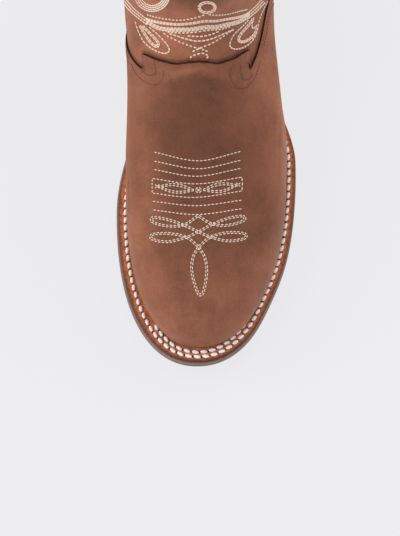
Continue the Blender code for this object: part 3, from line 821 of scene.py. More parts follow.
def upper_point(turn, level):
    """Point of the upper's outer face at a turn round the boot and a level up the sections."""
    turn = wrapped(turn)
    edge = side_of(turn)
    row = section_at(level)
    shin = row.leg_inner if edge is INNER else row.leg_outer
    full = row.full_inner if edge is INNER else row.full_outer
    leg = min(max(row.leg, 0.0), 1.0)
    share = (1.0 - math.cos(math.pi * abs(turn))) / 2
    station = mix(row.front, row.back, share)
    rise = mix(row.front_rise, row.back_rise, share)
    foot = edge_half(edge, station) - upper_inset(station) + row.swell - edge.drawn_in
    half = mix(foot, shin, leg) + edge.let_out * ease((rise - edge.let_out_from) / edge.let_out_over)
    centre = mix(TOE_TIP_X, HEEL_BACK_X, share) * (1.0 - leg)
    front = rounding((station - row.front) / (full - row.front), row.front_power)
    back = rounding((row.back - station) / (row.back - row.full_heel), row.back_power)
    across = centre + (edge.sign * half - centre) * front * back
    front_z = feather_line(row.front) + row.front_rise
    back_z = feather_line(row.back) + row.back_rise
    follow = feather_line(station) - mix(feather_line(row.front), feather_line(row.back), share)
    height = mix(front_z, back_z, share) + (1.0 - leg) * follow
    dip = ease((level - DIP_FROM_LEVEL) / (COLLAR_LEVEL - DIP_FROM_LEVEL))
    height -= COLLAR_DIP * dip * (0.5 + 0.5 * math.cos(2 * math.pi * turn)) ** DIP_POWER
    return Vector((AXIS_X + across, station - SOLE_LENGTH / 2, height))


def upper_normal(turn, level):
    lower = max(level - LEVEL_STEP, 0.0)
    upper = min(level + LEVEL_STEP, COLLAR_LEVEL)
    around = upper_point(turn + TURN_STEP, level) - upper_point(turn - TURN_STEP, level)
    rise = upper_point(turn, upper) - upper_point(turn, lower)
    return around.cross(rise).normalized()


def upper_lifted(turn, level, lift):
    return upper_point(turn, level) + upper_normal(turn, level) * lift


def level_at(turn, height):
    """Level of the upper where it reaches a height, found by halving."""
    low = 0.0
    high = COLLAR_LEVEL
    for _ in range(LEVEL_HALVINGS):
        middle = (low + high) / 2
        if upper_point(turn, middle).z < height:
            low = middle
        else:
            high = middle
    return (low + high) / 2


def edge_height(turn):
    """Height of the top edge of the vamp and counter."""
    turn = wrapped(turn)
    turns, heights = zip(*TOP_EDGE)
    height = through(heights, turns, abs(turn))
    turns, rises = zip(*OUTER_RISE)
    if turns[0] < turn < turns[-1]:
        height += through(rises, turns, turn)
    return height


def leaned(turn, height):
    """Turn of a place on the tongue, whose corners spread outwards over the notches."""
    size = abs(wrapped(turn))
    if size < LEAN_FROM_TURN or size > LEAN_END_TURN or height < LEAN_FROM:
        return turn
    share = min((height - LEAN_FROM) / (LEAN_TO - LEAN_FROM), 1.0)
    share *= ease((size - LEAN_FROM_TURN) / LEAN_GROWS_OVER)
    share *= ease((LEAN_END_TURN - size) / LEAN_ENDS_OVER)
    return turn + math.copysign(side_of(turn).corner_lean * share, turn)


def edge_place(turn, lift):
    """Place of the top edge, some way off the upper."""
    height = edge_height(turn)
    turn = leaned(turn, height)
    return upper_lifted(turn, level_at(turn, height), lift)


@lru_cache(maxsize=None)
def edge_line(lift):
    """Search tree of places along the shared top edge of the vamp and counter."""
    tree = KDTree(EDGE_PLACES)
    for index in range(EDGE_PLACES):
        tree.insert(edge_place(-1.0 + 2.0 * index / EDGE_PLACES, lift), index)
    tree.balance()
    return tree


def edge_distance(place, lift):
    """Distance to the top edge, which sets the painted shade of the gap, drawn out along the outer wing,
    where the gap is soft.
    """
    distance = edge_line(lift).find(place)[2]
    if place.x > SOFT_GAP_ACROSS:
        distance += SOFT_GAP * ease((station_at(place) - SOFT_GAP_FROM) / SOFT_GAP_OVER)
    return distance


def overlay_start(turn):
    """Lowest level where the overlay's outer edge clears the welt."""
    level = 0.0
    while level < OVERLAY_START_LIMIT:
        place = upper_lifted(turn, level, OVERLAY_GAP + OVERLAY)
        if place.z > feather_line(station_at(place)) + GAP:
            break
        level += OVERLAY_START_STEP
    return level


def crease_lift(creases, turn, height):
    """How far the listed creases move the leather outwards."""
    lift = 0.0
    for crease in creases:
        away = wrapped(turn - crease.turn) / crease.reach
        if abs(away) > 1.0:
            continue
        middle = crease.height + crease.tilt * abs(wrapped(turn - crease.turn))
        lift -= crease.depth * bell((height - middle) / crease.width) * (1.0 - away * away) ** 2
    return lift


def shaft_lift(turn, height):
    """Creases of the shaft and its soft bulge over the edge of the vamp and counter."""
    lift = crease_lift(SHAFT_CREASES, turn, height)
    above = height - edge_height(turn)
    if above > -BULGE_BELOW:
        side = ease((abs(turn) - BULGE_FROM_TURN) / BULGE_GROWS_OVER)
        lift += BULGE_OVER_EDGE * side * bell((above - BULGE_MIDDLE) / BULGE_REACH)
    return lift


def shaft_place(turn, level):
    """Point of the shaft's leather, whose creases die out at the foot and under the collar."""
    place = upper_point(turn, level)
    if level <= CREASED_FROM_LEVEL:
        return place
    lift = shaft_lift(turn, place.z) * ease((COLLAR_LEVEL - level) / COLLAR_SMOOTH_LEVELS)
    return place + upper_normal(turn, level) * lift


def toned(tone, spots, across, along):
    """A tone with lighter and darker spots added to it, partly the leather's own tone and partly painted
    light and shade.
    """
    for spot in spots:
        tone += spot.share * bell((across - spot.across) / spot.wide, (along - spot.along) / spot.long)
    return tone


def panel_tone_and_painted_light(place):
    """Lightness of the vamp's and counter's leather, with a painted sheen highlight along the lower edge.
    """
    station = station_at(place)
    painted_sheen = LOWER_EDGE_SHEEN * bell((place.z - feather_line(station)) / LOWER_EDGE_SHEEN_REACH)
    return toned(1.0, PANEL_TONE_AND_PAINTED_LIGHT_SPOTS, place.x - AXIS_X, station) + painted_sheen


def shaft_tone_and_painted_light(place):
    """Lightness of the shaft's leather, with the spots, mostly painted light and shade, on its front."""
    if place.y > SHAFT_SPOTS_END:
        return SHAFT_TONE
    return toned(SHAFT_TONE, SHAFT_TONE_AND_PAINTED_LIGHT_SPOTS, place.x - AXIS_X, place.z)


# Mesh helpers


def linked_piece(name, mesh, material):
    """Object of a mesh, riding on the boot."""
    piece = bpy.data.objects.new(name, mesh)
    bpy.context.scene.collection.objects.link(piece)
    mesh.materials.append(material)
    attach(piece, "root")
    return piece


def new_piece(name, mesh_data, material, slot, *replaced):
    """Piece of a finished bmesh that takes the place of some solids."""
    mesh = bpy.data.meshes.new(name)
    mesh_data.to_mesh(mesh)
    mesh_data.free()
    piece = linked_piece(name, mesh, material)
    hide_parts(*replaced)
    return piece


def shade_smooth(piece):
    for face in piece.data.polygons:
        face.use_smooth = True


def placed_grid(mesh_data, rows, closed=False):
    """Grid of quads whose vertices go to the rows of points. A closed row joins its ends."""
    across = len(rows[0])
    made = bmesh.ops.create_grid(
        mesh_data, x_segments=across - 1, y_segments=len(rows) - 1, size=1.0
    )
    verts = made["verts"]
    for index, vert in enumerate(verts):
        vert.co = rows[index // across][index % across]
    if closed:
        bmesh.ops.remove_doubles(mesh_data, verts=verts, dist=MERGE_WITHIN)


def swept(mesh_data, loops, capped=True):
    """Closed body through loops of points, each loop given without its repeated first point."""
    part = bmesh.new()
    placed_grid(part, [loop + [loop[0]] for loop in loops], closed=True)
    bmesh.ops.dissolve_degenerate(part, edges=part.edges[:], dist=DISSOLVE_WITHIN)
    if capped:
        open_edges = [edge for edge in part.edges if edge.is_boundary]
        bmesh.ops.holes_fill(part, edges=open_edges, sides=0)
    bmesh.ops.recalc_face_normals(part, faces=part.faces[:])
    passing = bpy.data.meshes.new("passing")
    part.to_mesh(passing)
    part.free()
    mesh_data.from_mesh(passing)
    bpy.data.meshes.remove(passing)


def add_solidify(piece, thick):
    """Thickness inwards from the outer face."""
    wall = piece.modifiers.new("thickness", "SOLIDIFY")
    wall.thickness = thick
    wall.offset = -1.0
    wall.use_even_offset = False
    wall.use_quality_normals = True
    return wall


def soften(piece, edges):
    bevel = piece.modifiers.new("soft edges", "BEVEL")
    bevel.width = edges.width
    bevel.segments = 2
    bevel.limit_method = "ANGLE"
    bevel.angle_limit = math.radians(edges.angle)
    bevel.harden_normals = False


def set_point_values(piece, name, values):
    layer = piece.data.attributes.new(name, "FLOAT", "POINT")
    layer.data.foreach_set("value", np.asarray(values, dtype=np.float32))


def surface_of(name):
    """Search tree of a piece as it is shown."""
    return BVHTree.FromObject(bpy.data.objects[name], bpy.context.evaluated_depsgraph_get())


# Camera of the photo


def camera_axes():
    azimuth = math.radians(CAMERA_AZIMUTH)
    elevation = math.radians(CAMERA_ELEVATION)
    view = Vector(
        (
            math.sin(azimuth) * math.cos(elevation),
            math.cos(azimuth) * math.cos(elevation),
            -math.sin(elevation),
        )
    )
    right = Vector((math.cos(azimuth), -math.sin(azimuth), 0.0))
    return right, right.cross(view), view


def camera_eye():
    return CAMERA_TARGET - camera_axes()[2] * CAMERA_DISTANCE


def seen_at(mark, surface):
    """Place and outward direction on a surface under a mark of the photo, or None."""
    right, up, view = camera_axes()
    across = (mark.across - IMAGE_WIDE / 2) / CAMERA_FOCAL_PIXELS
    rise = (IMAGE_HIGH / 2 - mark.down) / CAMERA_FOCAL_PIXELS
    ray = (view + right * across + up * rise).normalized()
    place, normal, _, _ = surface.ray_cast(camera_eye(), ray)
    if place is None:
        return None
    if normal.dot(ray) > 0.0:
        normal = -normal
    return place, normal


# Stitch rows


def curve_marks(marks, steps):
    """Smooth line of marks through a few of them."""
    travel = [0.0]
    for before, after in zip(marks, marks[1:]):
        travel.append(travel[-1] + math.dist(before, after))
    acrosses, downs = zip(*marks)
    line = []
    for where in between(0.0, travel[-1], steps):
        line.append(Mark(through(acrosses, travel, where), through(downs, travel, where)))
    return line


def beside(line, offset):
    """Line of marks moved sideways by some pixels."""
    moved = []
    for index, mark in enumerate(line):
        before = line[max(index - 1, 0)]
        after = line[min(index + 1, len(line) - 1)]
        along = Vector((after.across - before.across, after.down - before.down))
        if along.length > 0.0:
            along.normalize()
        moved.append(Mark(mark.across - along.y * offset, mark.down + along.x * offset))
    return moved


def lens_marks(lens, steps, side, ring=False):
    """Half of a pointed lens, or of a ring, between two marks."""
    along = Vector((lens.end.across - lens.start.across, lens.end.down - lens.start.down))
    sideways = Vector((-along.y, along.x)).normalized() * (side * lens.half_width)
    line = []
    for step in between(0.0, 1.0, steps):
        share = ease(step)
        width = 2.0 * math.sqrt(share * (1.0 - share)) if ring else math.sin(math.pi * share)
        across = lens.start.across + along.x * share + sideways.x * width
        line.append(Mark(across, lens.start.down + along.y * share + sideways.y * width))
    return line


def track_of(line, surface):
    """Places and outward directions on a surface along a line of marks."""
    track = [seen_at(mark, surface) for mark in line]
    return [step for step in track if step is not None]


def snapped(points, surface):
    """Places and outward directions on a surface nearest to some points just off it."""
    track = []
    for point in points:
        place, normal, _, _ = surface.find_nearest(point)
        if normal.dot(point - place) < -SNAP_INSIDE:
            normal = -normal
        track.append((place, normal))
    return track


def track_at(track, travel, where):
    """Place and outward direction some way along a track, with its lengths of travel."""
    low = 0
    while low < len(travel) - 2 and travel[low + 1] < where:
        low += 1
    span = max(travel[low + 1] - travel[low], SHORTEST_SPAN)
    share = min(max((where - travel[low]) / span, 0.0), 1.0)
    place = track[low][0].lerp(track[low + 1][0], share)
    normal = track[low][1].lerp(track[low + 1][1], share).normalized()
    return place, normal


def stitches_along(track, pitch, sewing, slant=0.0, ahead=0.0):
    """Placings of stitches along a track.

    The slant turns each stitch, in degrees, and ahead moves it on by a share of the pitch.
    """
    made = []
    if len(track) < 2:
        return made
    travel = [0.0]
    for before, after in zip(track, track[1:]):
        travel.append(travel[-1] + (after[0] - before[0]).length)
    count = max(1, round(travel[-1] / pitch))
    step = travel[-1] / count
    for index in range(count):
        centre = index + 0.5 + ahead
        start, start_normal = track_at(track, travel, step * (centre - sewing.fill / 2))
        end, end_normal = track_at(track, travel, step * (centre + sewing.fill / 2))
        along = end - start
        if along.length < SHORTEST_STITCH:
            continue
        normal = (start_normal + end_normal).normalized()
        along = Matrix.Rotation(math.radians(slant), 3, normal) @ along
        made.append(thread_placing((start + end) / 2, along, normal, sewing))
    return made


def thread_placing(middle, along, normal, sewing):
    """Matrix that puts the unit thread shape on a surface, partly sunk in it."""
    across = normal.cross(along).normalized()
    outward = along.cross(across).normalized()
    middle = middle + outward * (sewing.height * (0.5 - sewing.sink))
    placing = Matrix.Identity(4)
    for row in range(3):
        placing[row][0] = across[row] * sewing.width / 2
        placing[row][1] = outward[row] * sewing.height / 2
        placing[row][2] = along[row] / 2
        placing[row][3] = middle[row]
    return placing


def thread_shape():
    """Unit thread shape with few faces, its poles along its length."""
    shape = bmesh.new()
    bmesh.ops.create_uvsphere(shape, u_segments=6, v_segments=4, radius=1.0)
    points = np.array([vert.co[:] for vert in shape.verts])
    shape.verts.index_update()
    faces = [[vert.index for vert in face.verts] for face in shape.faces]
    shape.free()
    return points, faces


def joined_threads(name, placings, material):
    """One mesh of all the threads of a group, joined from an array of their placings."""
    points, faces = thread_shape()
    matrices = np.array([[list(row) for row in placing] for placing in placings])
    placed = np.einsum("nij,pj->npi", matrices[:, :3, :3], points) + matrices[:, None, :3, 3]
    all_faces = []
    for index in range(len(placings)):
        start = index * len(points)
        all_faces.extend([[start + corner for corner in face] for face in faces])
    mesh = bpy.data.meshes.new(name)
    mesh.from_pydata(placed.reshape(-1, 3).tolist(), [], all_faces)
    shade_smooth(linked_piece(name, mesh, material))


# Shader helpers


def new_group(name, inputs, outputs):
    """Shader group with its sockets. Each input is a name, a socket type and a default."""
    group = bpy.data.node_groups.new(name, "ShaderNodeTree")
    for label, kind, value in inputs:
        socket = group.interface.new_socket(label, in_out="INPUT", socket_type=kind)
        socket.default_value = value
    for label, kind in outputs:
        group.interface.new_socket(label, in_out="OUTPUT", socket_type=kind)
    return group, group.nodes.new("NodeGroupInput"), group.nodes.new("NodeGroupOutput")


def feed(tree, socket, value):
    """Set a socket to a plain value, or link it to another node's output."""
    if isinstance(value, (int, float, tuple)):
        socket.default_value = value
    else:
        tree.links.new(value, socket)


def add_math(tree, operation, first, second):
    node = tree.nodes.new("ShaderNodeMath")
    node.operation = operation
    feed(tree, node.inputs[0], first)
    feed(tree, node.inputs[1], second)
    return node.outputs[0]


def add_mix(tree, share, first, second):
    node = tree.nodes.new("ShaderNodeMix")
    node.data_type = "RGBA"
    for socket, value in ((node.inputs[0], share), (node.inputs[6], first), (node.inputs[7], second)):
        feed(tree, socket, value)
    return node.outputs[2]


def add_range(tree, value, low, high, to_low, to_high):
    node = tree.nodes.new("ShaderNodeMapRange")
    node.inputs["From Min"].default_value = low
    node.inputs["From Max"].default_value = high
    node.inputs["To Min"].default_value = to_low
    node.inputs["To Max"].default_value = to_high
    tree.links.new(value, node.inputs["Value"])
    return node.outputs["Result"]


def add_noise(tree, place, scale, detail, rough):
    node = tree.nodes.new("ShaderNodeTexNoise")
    node.inputs["Detail"].default_value = detail
    node.inputs["Roughness"].default_value = rough
    feed(tree, node.inputs["Scale"], scale)
    tree.links.new(place, node.inputs["Vector"])
    return node.outputs["Fac"]


def add_centred(tree, noise, weight):
    """Noise drawn to both sides of 0, with a weight."""
    return add_math(tree, "MULTIPLY", add_math(tree, "SUBTRACT", noise, 0.5), weight)


def add_attribute(tree, name):
    node = tree.nodes.new("ShaderNodeAttribute")
    node.attribute_name = name
    return node.outputs["Fac"]


def add_relief(tree, shader, height, strength, depth):
    relief = tree.nodes.new("ShaderNodeBump")
    relief.inputs["Strength"].default_value = strength
    relief.inputs["Distance"].default_value = depth
    tree.links.new(height, relief.inputs["Height"])
    tree.links.new(relief.outputs["Normal"], shader.inputs["Normal"])


@lru_cache(maxsize=None)
def hide_group():
    """Mottled colour, roughness and height of a hide, in three sizes of noise and its pores."""
    group, given, result = new_group(
        "hide",
        (
            ("Light", "NodeSocketColor", (0.35, 0.15, 0.09, 1.0)),
            ("Dark", "NodeSocketColor", (0.20, 0.08, 0.05, 1.0)),
            ("Patch Scale", "NodeSocketFloat", 22.0),
            ("Grain Scale", "NodeSocketFloat", 900.0),
            ("Contrast", "NodeSocketFloat", 1.0),
        ),
        (
            ("Colour", "NodeSocketColor"),
            ("Roughness", "NodeSocketFloat"),
            ("Height", "NodeSocketFloat"),
        ),
    )
    place = group.nodes.new("ShaderNodeTexCoord").outputs["Object"]
    patch = add_noise(group, place, given.outputs["Patch Scale"], detail=6.0, rough=0.62)
    stretched = group.nodes.new("ShaderNodeVectorMath")
    stretched.operation = "MULTIPLY"
    stretched.inputs[1].default_value = CLOUD_STRETCH
    group.links.new(place, stretched.inputs[0])
    cloud = add_noise(group, stretched.outputs[0], CLOUD_SCALE, detail=5.0, rough=0.65)
    grain = add_noise(group, place, given.outputs["Grain Scale"], detail=3.0, rough=0.6)
    pores = group.nodes.new("ShaderNodeTexVoronoi")
    pores.inputs["Scale"].default_value = PORE_SCALE
    group.links.new(place, pores.inputs["Vector"])
    spread = add_centred(group, patch, given.outputs["Contrast"])
    spread = add_math(group, "ADD", spread, add_centred(group, cloud, CLOUD_SHARE))
    spread = add_math(group, "ADD", spread, add_centred(group, grain, GRAIN_SHARE))
    share = add_range(group, spread, -0.5, 0.5, 0.0, 1.0)
    colour = add_mix(group, share, given.outputs["Dark"], given.outputs["Light"])
    group.links.new(colour, result.inputs["Colour"])
    group.links.new(add_range(group, spread, -0.5, 0.5, *HIDE_ROUGHNESS), result.inputs["Roughness"])
    pitted = add_math(group, "MULTIPLY", pores.outputs["Distance"], PORE_RELIEF)
    clouded = add_math(group, "MULTIPLY", cloud, CLOUD_RELIEF)
    height = add_math(group, "ADD", add_math(group, "ADD", grain, pitted), clouded)
    group.links.new(height, result.inputs["Height"])
    return group


@lru_cache(maxsize=None)
def edge_group():
    """Darkened edge from the distance to an edge in metres: painted shade of the gap on the shaft, partly
    painted shade along the panels' edge, and the welt's darker outer edge.
    """
    group, given, result = new_group(
        "panel_edge",
        (
            ("Colour", "NodeSocketColor", (0.3, 0.1, 0.05, 1.0)),
            ("Distance", "NodeSocketFloat", 1.0),
            ("Reach", "NodeSocketFloat", 0.002),
            ("Depth", "NodeSocketFloat", 0.6),
        ),
        (("Colour", "NodeSocketColor"),),
    )
    near = add_math(group, "DIVIDE", given.outputs["Distance"], given.outputs["Reach"])
    near = add_math(group, "SUBTRACT", 1.0, near)
    near = add_math(group, "MAXIMUM", near, 0.0)
    near = add_math(group, "MULTIPLY", near, given.outputs["Depth"])
    near = add_math(group, "MINIMUM", near, 1.0)
    dark = add_mix(group, near, given.outputs["Colour"], DARK_EDGE_AND_GAP_SHADE)
    group.links.new(dark, result.inputs["Colour"])
    return group


def new_material(name):
    material = bpy.data.materials.new(name)
    material.use_nodes = True
    tree = material.node_tree
    return material, tree, tree.nodes["Principled BSDF"]


def colour_of(tone):
    """Share of one of the colour settings."""
    setting = getattr(bpy.context.scene.boot_colours, tone.setting)
    return tuple(part * tone.share for part in setting) + (1.0,)


def hide_material(leather):
    """Leather or rubber from the shared hide group, with placed tones, partly painted light and shade,
    and a dark edge, painted shade of the gap on the shaft, if it has them.
    """
    material, tree, shader = new_material(leather.name)
    hide = tree.nodes.new("ShaderNodeGroup")
    hide.node_tree = hide_group()
    hide.inputs["Light"].default_value = colour_of(leather.light)
    hide.inputs["Dark"].default_value = colour_of(leather.dark)
    hide.inputs["Patch Scale"].default_value = leather.patch
    hide.inputs["Grain Scale"].default_value = leather.grain
    hide.inputs["Contrast"].default_value = leather.contrast
    colour = hide.outputs["Colour"]
    # Placed tones, with painted light and shade among them
    if leather.toned:
        scaled = tree.nodes.new("ShaderNodeVectorMath")
        scaled.operation = "SCALE"
        tree.links.new(colour, scaled.inputs[0])
        tree.links.new(add_attribute(tree, "tone"), scaled.inputs["Scale"])
        colour = scaled.outputs[0]
    # Dark edge: painted shade of the gap on the shaft, partly so on the panels
    if leather.edge is not None:
        edge_shade_node = tree.nodes.new("ShaderNodeGroup")
        edge_shade_node.node_tree = edge_group()
        edge_shade_node.inputs["Reach"].default_value = leather.edge.reach
        edge_shade_node.inputs["Depth"].default_value = leather.edge.depth
        tree.links.new(colour, edge_shade_node.inputs["Colour"])
        tree.links.new(add_attribute(tree, "edge"), edge_shade_node.inputs["Distance"])
        colour = edge_shade_node.outputs["Colour"]
    tree.links.new(colour, shader.inputs["Base Color"])
    tree.links.new(hide.outputs["Roughness"], shader.inputs["Roughness"])
    add_relief(tree, shader, hide.outputs["Height"], leather.relief, HIDE_RELIEF_DEPTH)
    shader.inputs["Specular IOR Level"].default_value = 0.25
    shader.inputs["Sheen Weight"].default_value = leather.sheen
    shader.inputs["Sheen Roughness"].default_value = 0.45
    shader.inputs["Sheen Tint"].default_value = HIDE_SHEEN
    return material


def thread_material(thread):
    """Thread with a fuzz of two tones."""
    material, tree, shader = new_material(thread.name)
    place = tree.nodes.new("ShaderNodeTexCoord").outputs["Object"]
    fuzz = add_noise(tree, place, FUZZ_SCALE, detail=2.0, rough=0.6)
    tone = add_mix(tree, fuzz, colour_of(thread.dark), colour_of(thread.light))
    tree.links.new(tone, shader.inputs["Base Color"])
    shader.inputs["Roughness"].default_value = 0.75
    shader.inputs["Sheen Weight"].default_value = 0.25
    add_relief(tree, shader, fuzz, FUZZ_RELIEF, FUZZ_RELIEF_DEPTH)
    return material


@lru_cache(maxsize=None)
def finish(name):
    """Material of a finish, made once."""
    if name in HIDES:
        return hide_material(HIDES[name])
    return thread_material(THREADS[name])


# Settings that a user would change


class BootColours(bpy.types.PropertyGroup):
    """Colours of the leathers, the rubber and the threads."""

    leather_light: bpy.props.FloatVectorProperty(
        name="Leather Light", description="Rubbed tone of the brown leather",
        subtype="COLOR", size=3, min=0.0, max=1.0, default=(0.372, 0.140, 0.078),
    )
    leather_dark: bpy.props.FloatVectorProperty(
        name="Leather Dark", description="Deep tone of the brown leather",
        subtype="COLOR", size=3, min=0.0, max=1.0, default=(0.216, 0.078, 0.042),
    )
    lining: bpy.props.FloatVectorProperty(
        name="Lining", description="Lining inside the shaft, and the insole board",
        subtype="COLOR", size=3, min=0.0, max=1.0, default=(0.47, 0.31, 0.19),
    )
    welt: bpy.props.FloatVectorProperty(
        name="Welt", description="Tan welt leather",
        subtype="COLOR", size=3, min=0.0, max=1.0, default=(0.530, 0.166, 0.070),
    )
    rubber: bpy.props.FloatVectorProperty(
        name="Rubber", description="Rubber of the sole and heel",
        subtype="COLOR", size=3, min=0.0, max=1.0, default=(0.250, 0.174, 0.158),
    )
    thread: bpy.props.FloatVectorProperty(
        name="Thread", description="Cream thread of the vamp",
        subtype="COLOR", size=3, min=0.0, max=1.0, default=(0.97, 0.77, 0.61),
    )
    shaft_thread: bpy.props.FloatVectorProperty(
        name="Shaft Thread", description="Softer cream thread of the shaft",
        subtype="COLOR", size=3, min=0.0, max=1.0, default=(1.0, 0.7854, 0.6344),
    )
    welt_thread: bpy.props.FloatVectorProperty(
        name="Welt Thread", description="White thread of the welt",
        subtype="COLOR", size=3, min=0.0, max=1.0, default=(1.0, 0.985, 0.975),
    )
    dark_thread: bpy.props.FloatVectorProperty(
        name="Dark Thread", description="Brown thread along the panel edges",
        subtype="COLOR", size=3, min=0.0, max=1.0, default=(0.150, 0.034, 0.016),
    )


class BootStitching(bpy.types.PropertyGroup):
    """Spacing of the stitches and of the welt's rows."""

    vamp_pitch: bpy.props.FloatProperty(
        name="Vamp Pitch", description="Distance between the stitches of the vamp and the shaft's arches",
        unit="LENGTH", default=0.0023,
    )
    welt_pitch: bpy.props.FloatProperty(
        name="Welt Pitch", description="Distance between the stitches of the welt",
        unit="LENGTH", default=0.0050,
    )
    edge_pitch: bpy.props.FloatProperty(
        name="Edge Pitch", description="Distance between the stitches along the side seams and collar",
        unit="LENGTH", default=0.0026,
    )
    welt_row: bpy.props.FloatProperty(
        name="Welt Row", description="Distance of the welt's stitch row from the sole's edge",
        unit="LENGTH", default=0.0045,
    )
    welt_inner_row: bpy.props.FloatProperty(
        name="Welt Inner Row", description="Distance of the toe's second stitch row from the sole's edge",
        unit="LENGTH", default=0.0076,
    )


# Pieces


class BOOT_OT_upper(bpy.types.Operator):
    """Lay the leather of the shaft, with its lining"""

    bl_idname = "boot.lay_upper"
    bl_label = "Shaft Leather"

    def execute(self, context):
        around = [column % SHAFT_COLUMNS for column in range(SHAFT_COLUMNS + 1)]
        turns = [-1.0 + 2.0 * column / SHAFT_COLUMNS for column in around]
        points = []
        for level in between(0.0, COLLAR_LEVEL, SHAFT_RINGS):
            points.append([shaft_place(turn, level) for turn in turns])
        mesh_data = bmesh.new()
        placed_grid(mesh_data, points, closed=True)
        bmesh.ops.recalc_face_normals(mesh_data, faces=mesh_data.faces[:])
        # Distance to the vamp's and counter's edge, for the painted shade of the gap below it
        distances = [edge_distance(vert.co, OVERLAY_GAP) for vert in mesh_data.verts]
        # Tones, with painted light and shade on the shaft's front
        tones_and_painted_light = [shaft_tone_and_painted_light(vert.co) for vert in mesh_data.verts]
        piece = new_piece("shaft_leather", mesh_data, finish("shaft"), "upper", "upper")
        set_point_values(piece, "edge", distances)
        set_point_values(piece, "tone", tones_and_painted_light)
        piece.data.materials.append(finish("lining"))
        wall = add_solidify(piece, WALL)
        wall.material_offset = 1
        wall.material_offset_rim = 0
        soften(piece, SHAFT_EDGES)
        shade_smooth(piece)
        return {"FINISHED"}


def lay_overlay(name, turns, rows, slot, node, creases):
    """Panel over the upper, from the welt to the shared top edge, with its thickness."""
    columns = []
    distances = []
    for turn in turns:
        top = level_at(turn, edge_height(turn))
        start = overlay_start(turn)
        column = []
        for share in between(0.0, 1.0, rows):
            level = mix(start, top, share)
            height = upper_point(turn, level).z
            lift = OVERLAY_GAP + OVERLAY + crease_lift(creases, turn, height) * ease(share / CREASE_FADE)
            around = leaned(turn, height)
            if around != turn:
                level = level_at(around, height)
            column.append(upper_lifted(around, level, lift))
        columns.append(column)
        # Distance to the top edge, for the panel's dark edge, partly painted shade of the gap
        distances.extend(edge_distance(place, OVERLAY_GAP + OVERLAY) for place in column)
    mesh_data = bmesh.new()
    placed_grid(mesh_data, columns)
    # Tones, with painted light and shade and a painted sheen line along the lower edge
    tones_and_painted_light = [panel_tone_and_painted_light(vert.co) for vert in mesh_data.verts]
    bmesh.ops.recalc_face_normals(mesh_data, faces=mesh_data.faces[:])
    mesh_data.faces.ensure_lookup_table()
    middle = mesh_data.faces[len(mesh_data.faces) // 2]
    if middle.normal.dot(middle.calc_center_median() - INSIDE_FOOT) < 0.0:
        bmesh.ops.reverse_faces(mesh_data, faces=mesh_data.faces[:])
    piece = new_piece(name, mesh_data, finish("panel"), slot, node)
    set_point_values(piece, "edge", distances)
    set_point_values(piece, "tone", tones_and_painted_light)
    # Rim of the panel: dark cut edge, partly painted shade of the gap
    piece.data.materials.append(finish("cut_edge"))
    wall = add_solidify(piece, OVERLAY)
    wall.material_offset_rim = 1
    soften(piece, PANEL_EDGES)
    shade_smooth(piece)


class BOOT_OT_vamp(bpy.types.Operator):
    """Lay the vamp with its tongue and notches"""

    bl_idname = "boot.lay_vamp"
    bl_label = "Vamp"

    def execute(self, context):
        end = SEAM_TURN - SEAM_GAP_TURN
        half = []
        turn = 0.0
        while turn < end - VAMP_LAST_STEP:
            half.append(turn)
            turn += NOTCH_STEP if NOTCH_FROM < turn < NOTCH_TO else VAMP_STEP
        half.append(end)
        turns = [-turn for turn in reversed(half[1:])] + half
        lay_overlay("vamp_leather", turns, VAMP_RINGS, "vamp", "vamp", VAMP_CREASES)
        return {"FINISHED"}


class BOOT_OT_counter(bpy.types.Operator):
    """Lay the counter round the heel"""

    bl_idname = "boot.lay_counter"
    bl_label = "Counter"

    def execute(self, context):
        start = SEAM_TURN + SEAM_GAP_TURN
        turns = between(start, 2.0 - start, COUNTER_COLUMNS)
        lay_overlay("counter_leather", turns, COUNTER_RINGS, "counter", "counter", ())
        return {"FINISHED"}


def welt_set_back(turn):
    """How far the welt's edge stands inside the outsole's."""
    return through([row.set_back for row in WELT_LINE], [row.turn for row in WELT_LINE], turn)


def welt_row_shift(turn):
    """How much further in the welt's stitch rows lie."""
    return through([row.row_shift for row in WELT_LINE], [row.turn for row in WELT_LINE], turn)


def welt_place(turn, inset, rise):
    place = outline(turn, inset)
    place.z = sole_top(station_at(place)) + GAP + rise
    return place


class BOOT_OT_welt(bpy.types.Operator):
    """Lay the tan welt round the front of the boot"""

    bl_idname = "boot.lay_welt"
    bl_label = "Welt"

    def execute(self, context):
        end = turn_of(WELT_END - WELT_END_GAP)
        turns = between(-end, end, WELT_STEPS)
        rim = KDTree(len(turns))
        loops = []
        for index, turn in enumerate(turns):
            inside = upper_inset(station_of(turn)) + WELT_UNDER_UPPER
            edge = welt_set_back(turn)
            rim.insert(outline(turn, edge), index)
            section = (
                (edge, 0.0),
                (inside, 0.0),
                (inside, WELT_THICK),
                (edge + WELT_FLAT, WELT_THICK),
                (edge + WELT_SHOULDER, WELT_THICK),
                (edge + WELT_CHAMFER, WELT_THICK - WELT_CHAMFER_DROP),
                (edge, WELT_THICK - WELT_CHAMFER),
            )
            loops.append([welt_place(turn, inset, rise) for inset, rise in section])
        rim.balance()
        mesh_data = bmesh.new()
        swept(mesh_data, loops)
        piece = new_piece("welt_strip", mesh_data, finish("welt"), "welt", "welt")
        distances = []
        for vert in piece.data.vertices:
            distances.append(rim.find(Vector((vert.co.x, vert.co.y, 0.0)))[2])
        set_point_values(piece, "edge", distances)
        shade_smooth(piece)
        soften(piece, WELT_EDGES)
        return {"FINISHED"}


def seat_height(turn, station):
    """Upper face of the outsole, with the raised heel seat behind the welt."""
    if station_of(turn) > WELT_END + GAP:
        return feather_line(station) - GAP
    return sole_top(station)


def sole_place(turn, inset, share):
    place = outline(turn, inset)
    station = station_at(place)
    top = seat_height(turn, station) if share == 1.0 else sole_top(station)
    place.z = mix(tread_line(station), top, share)
    return place


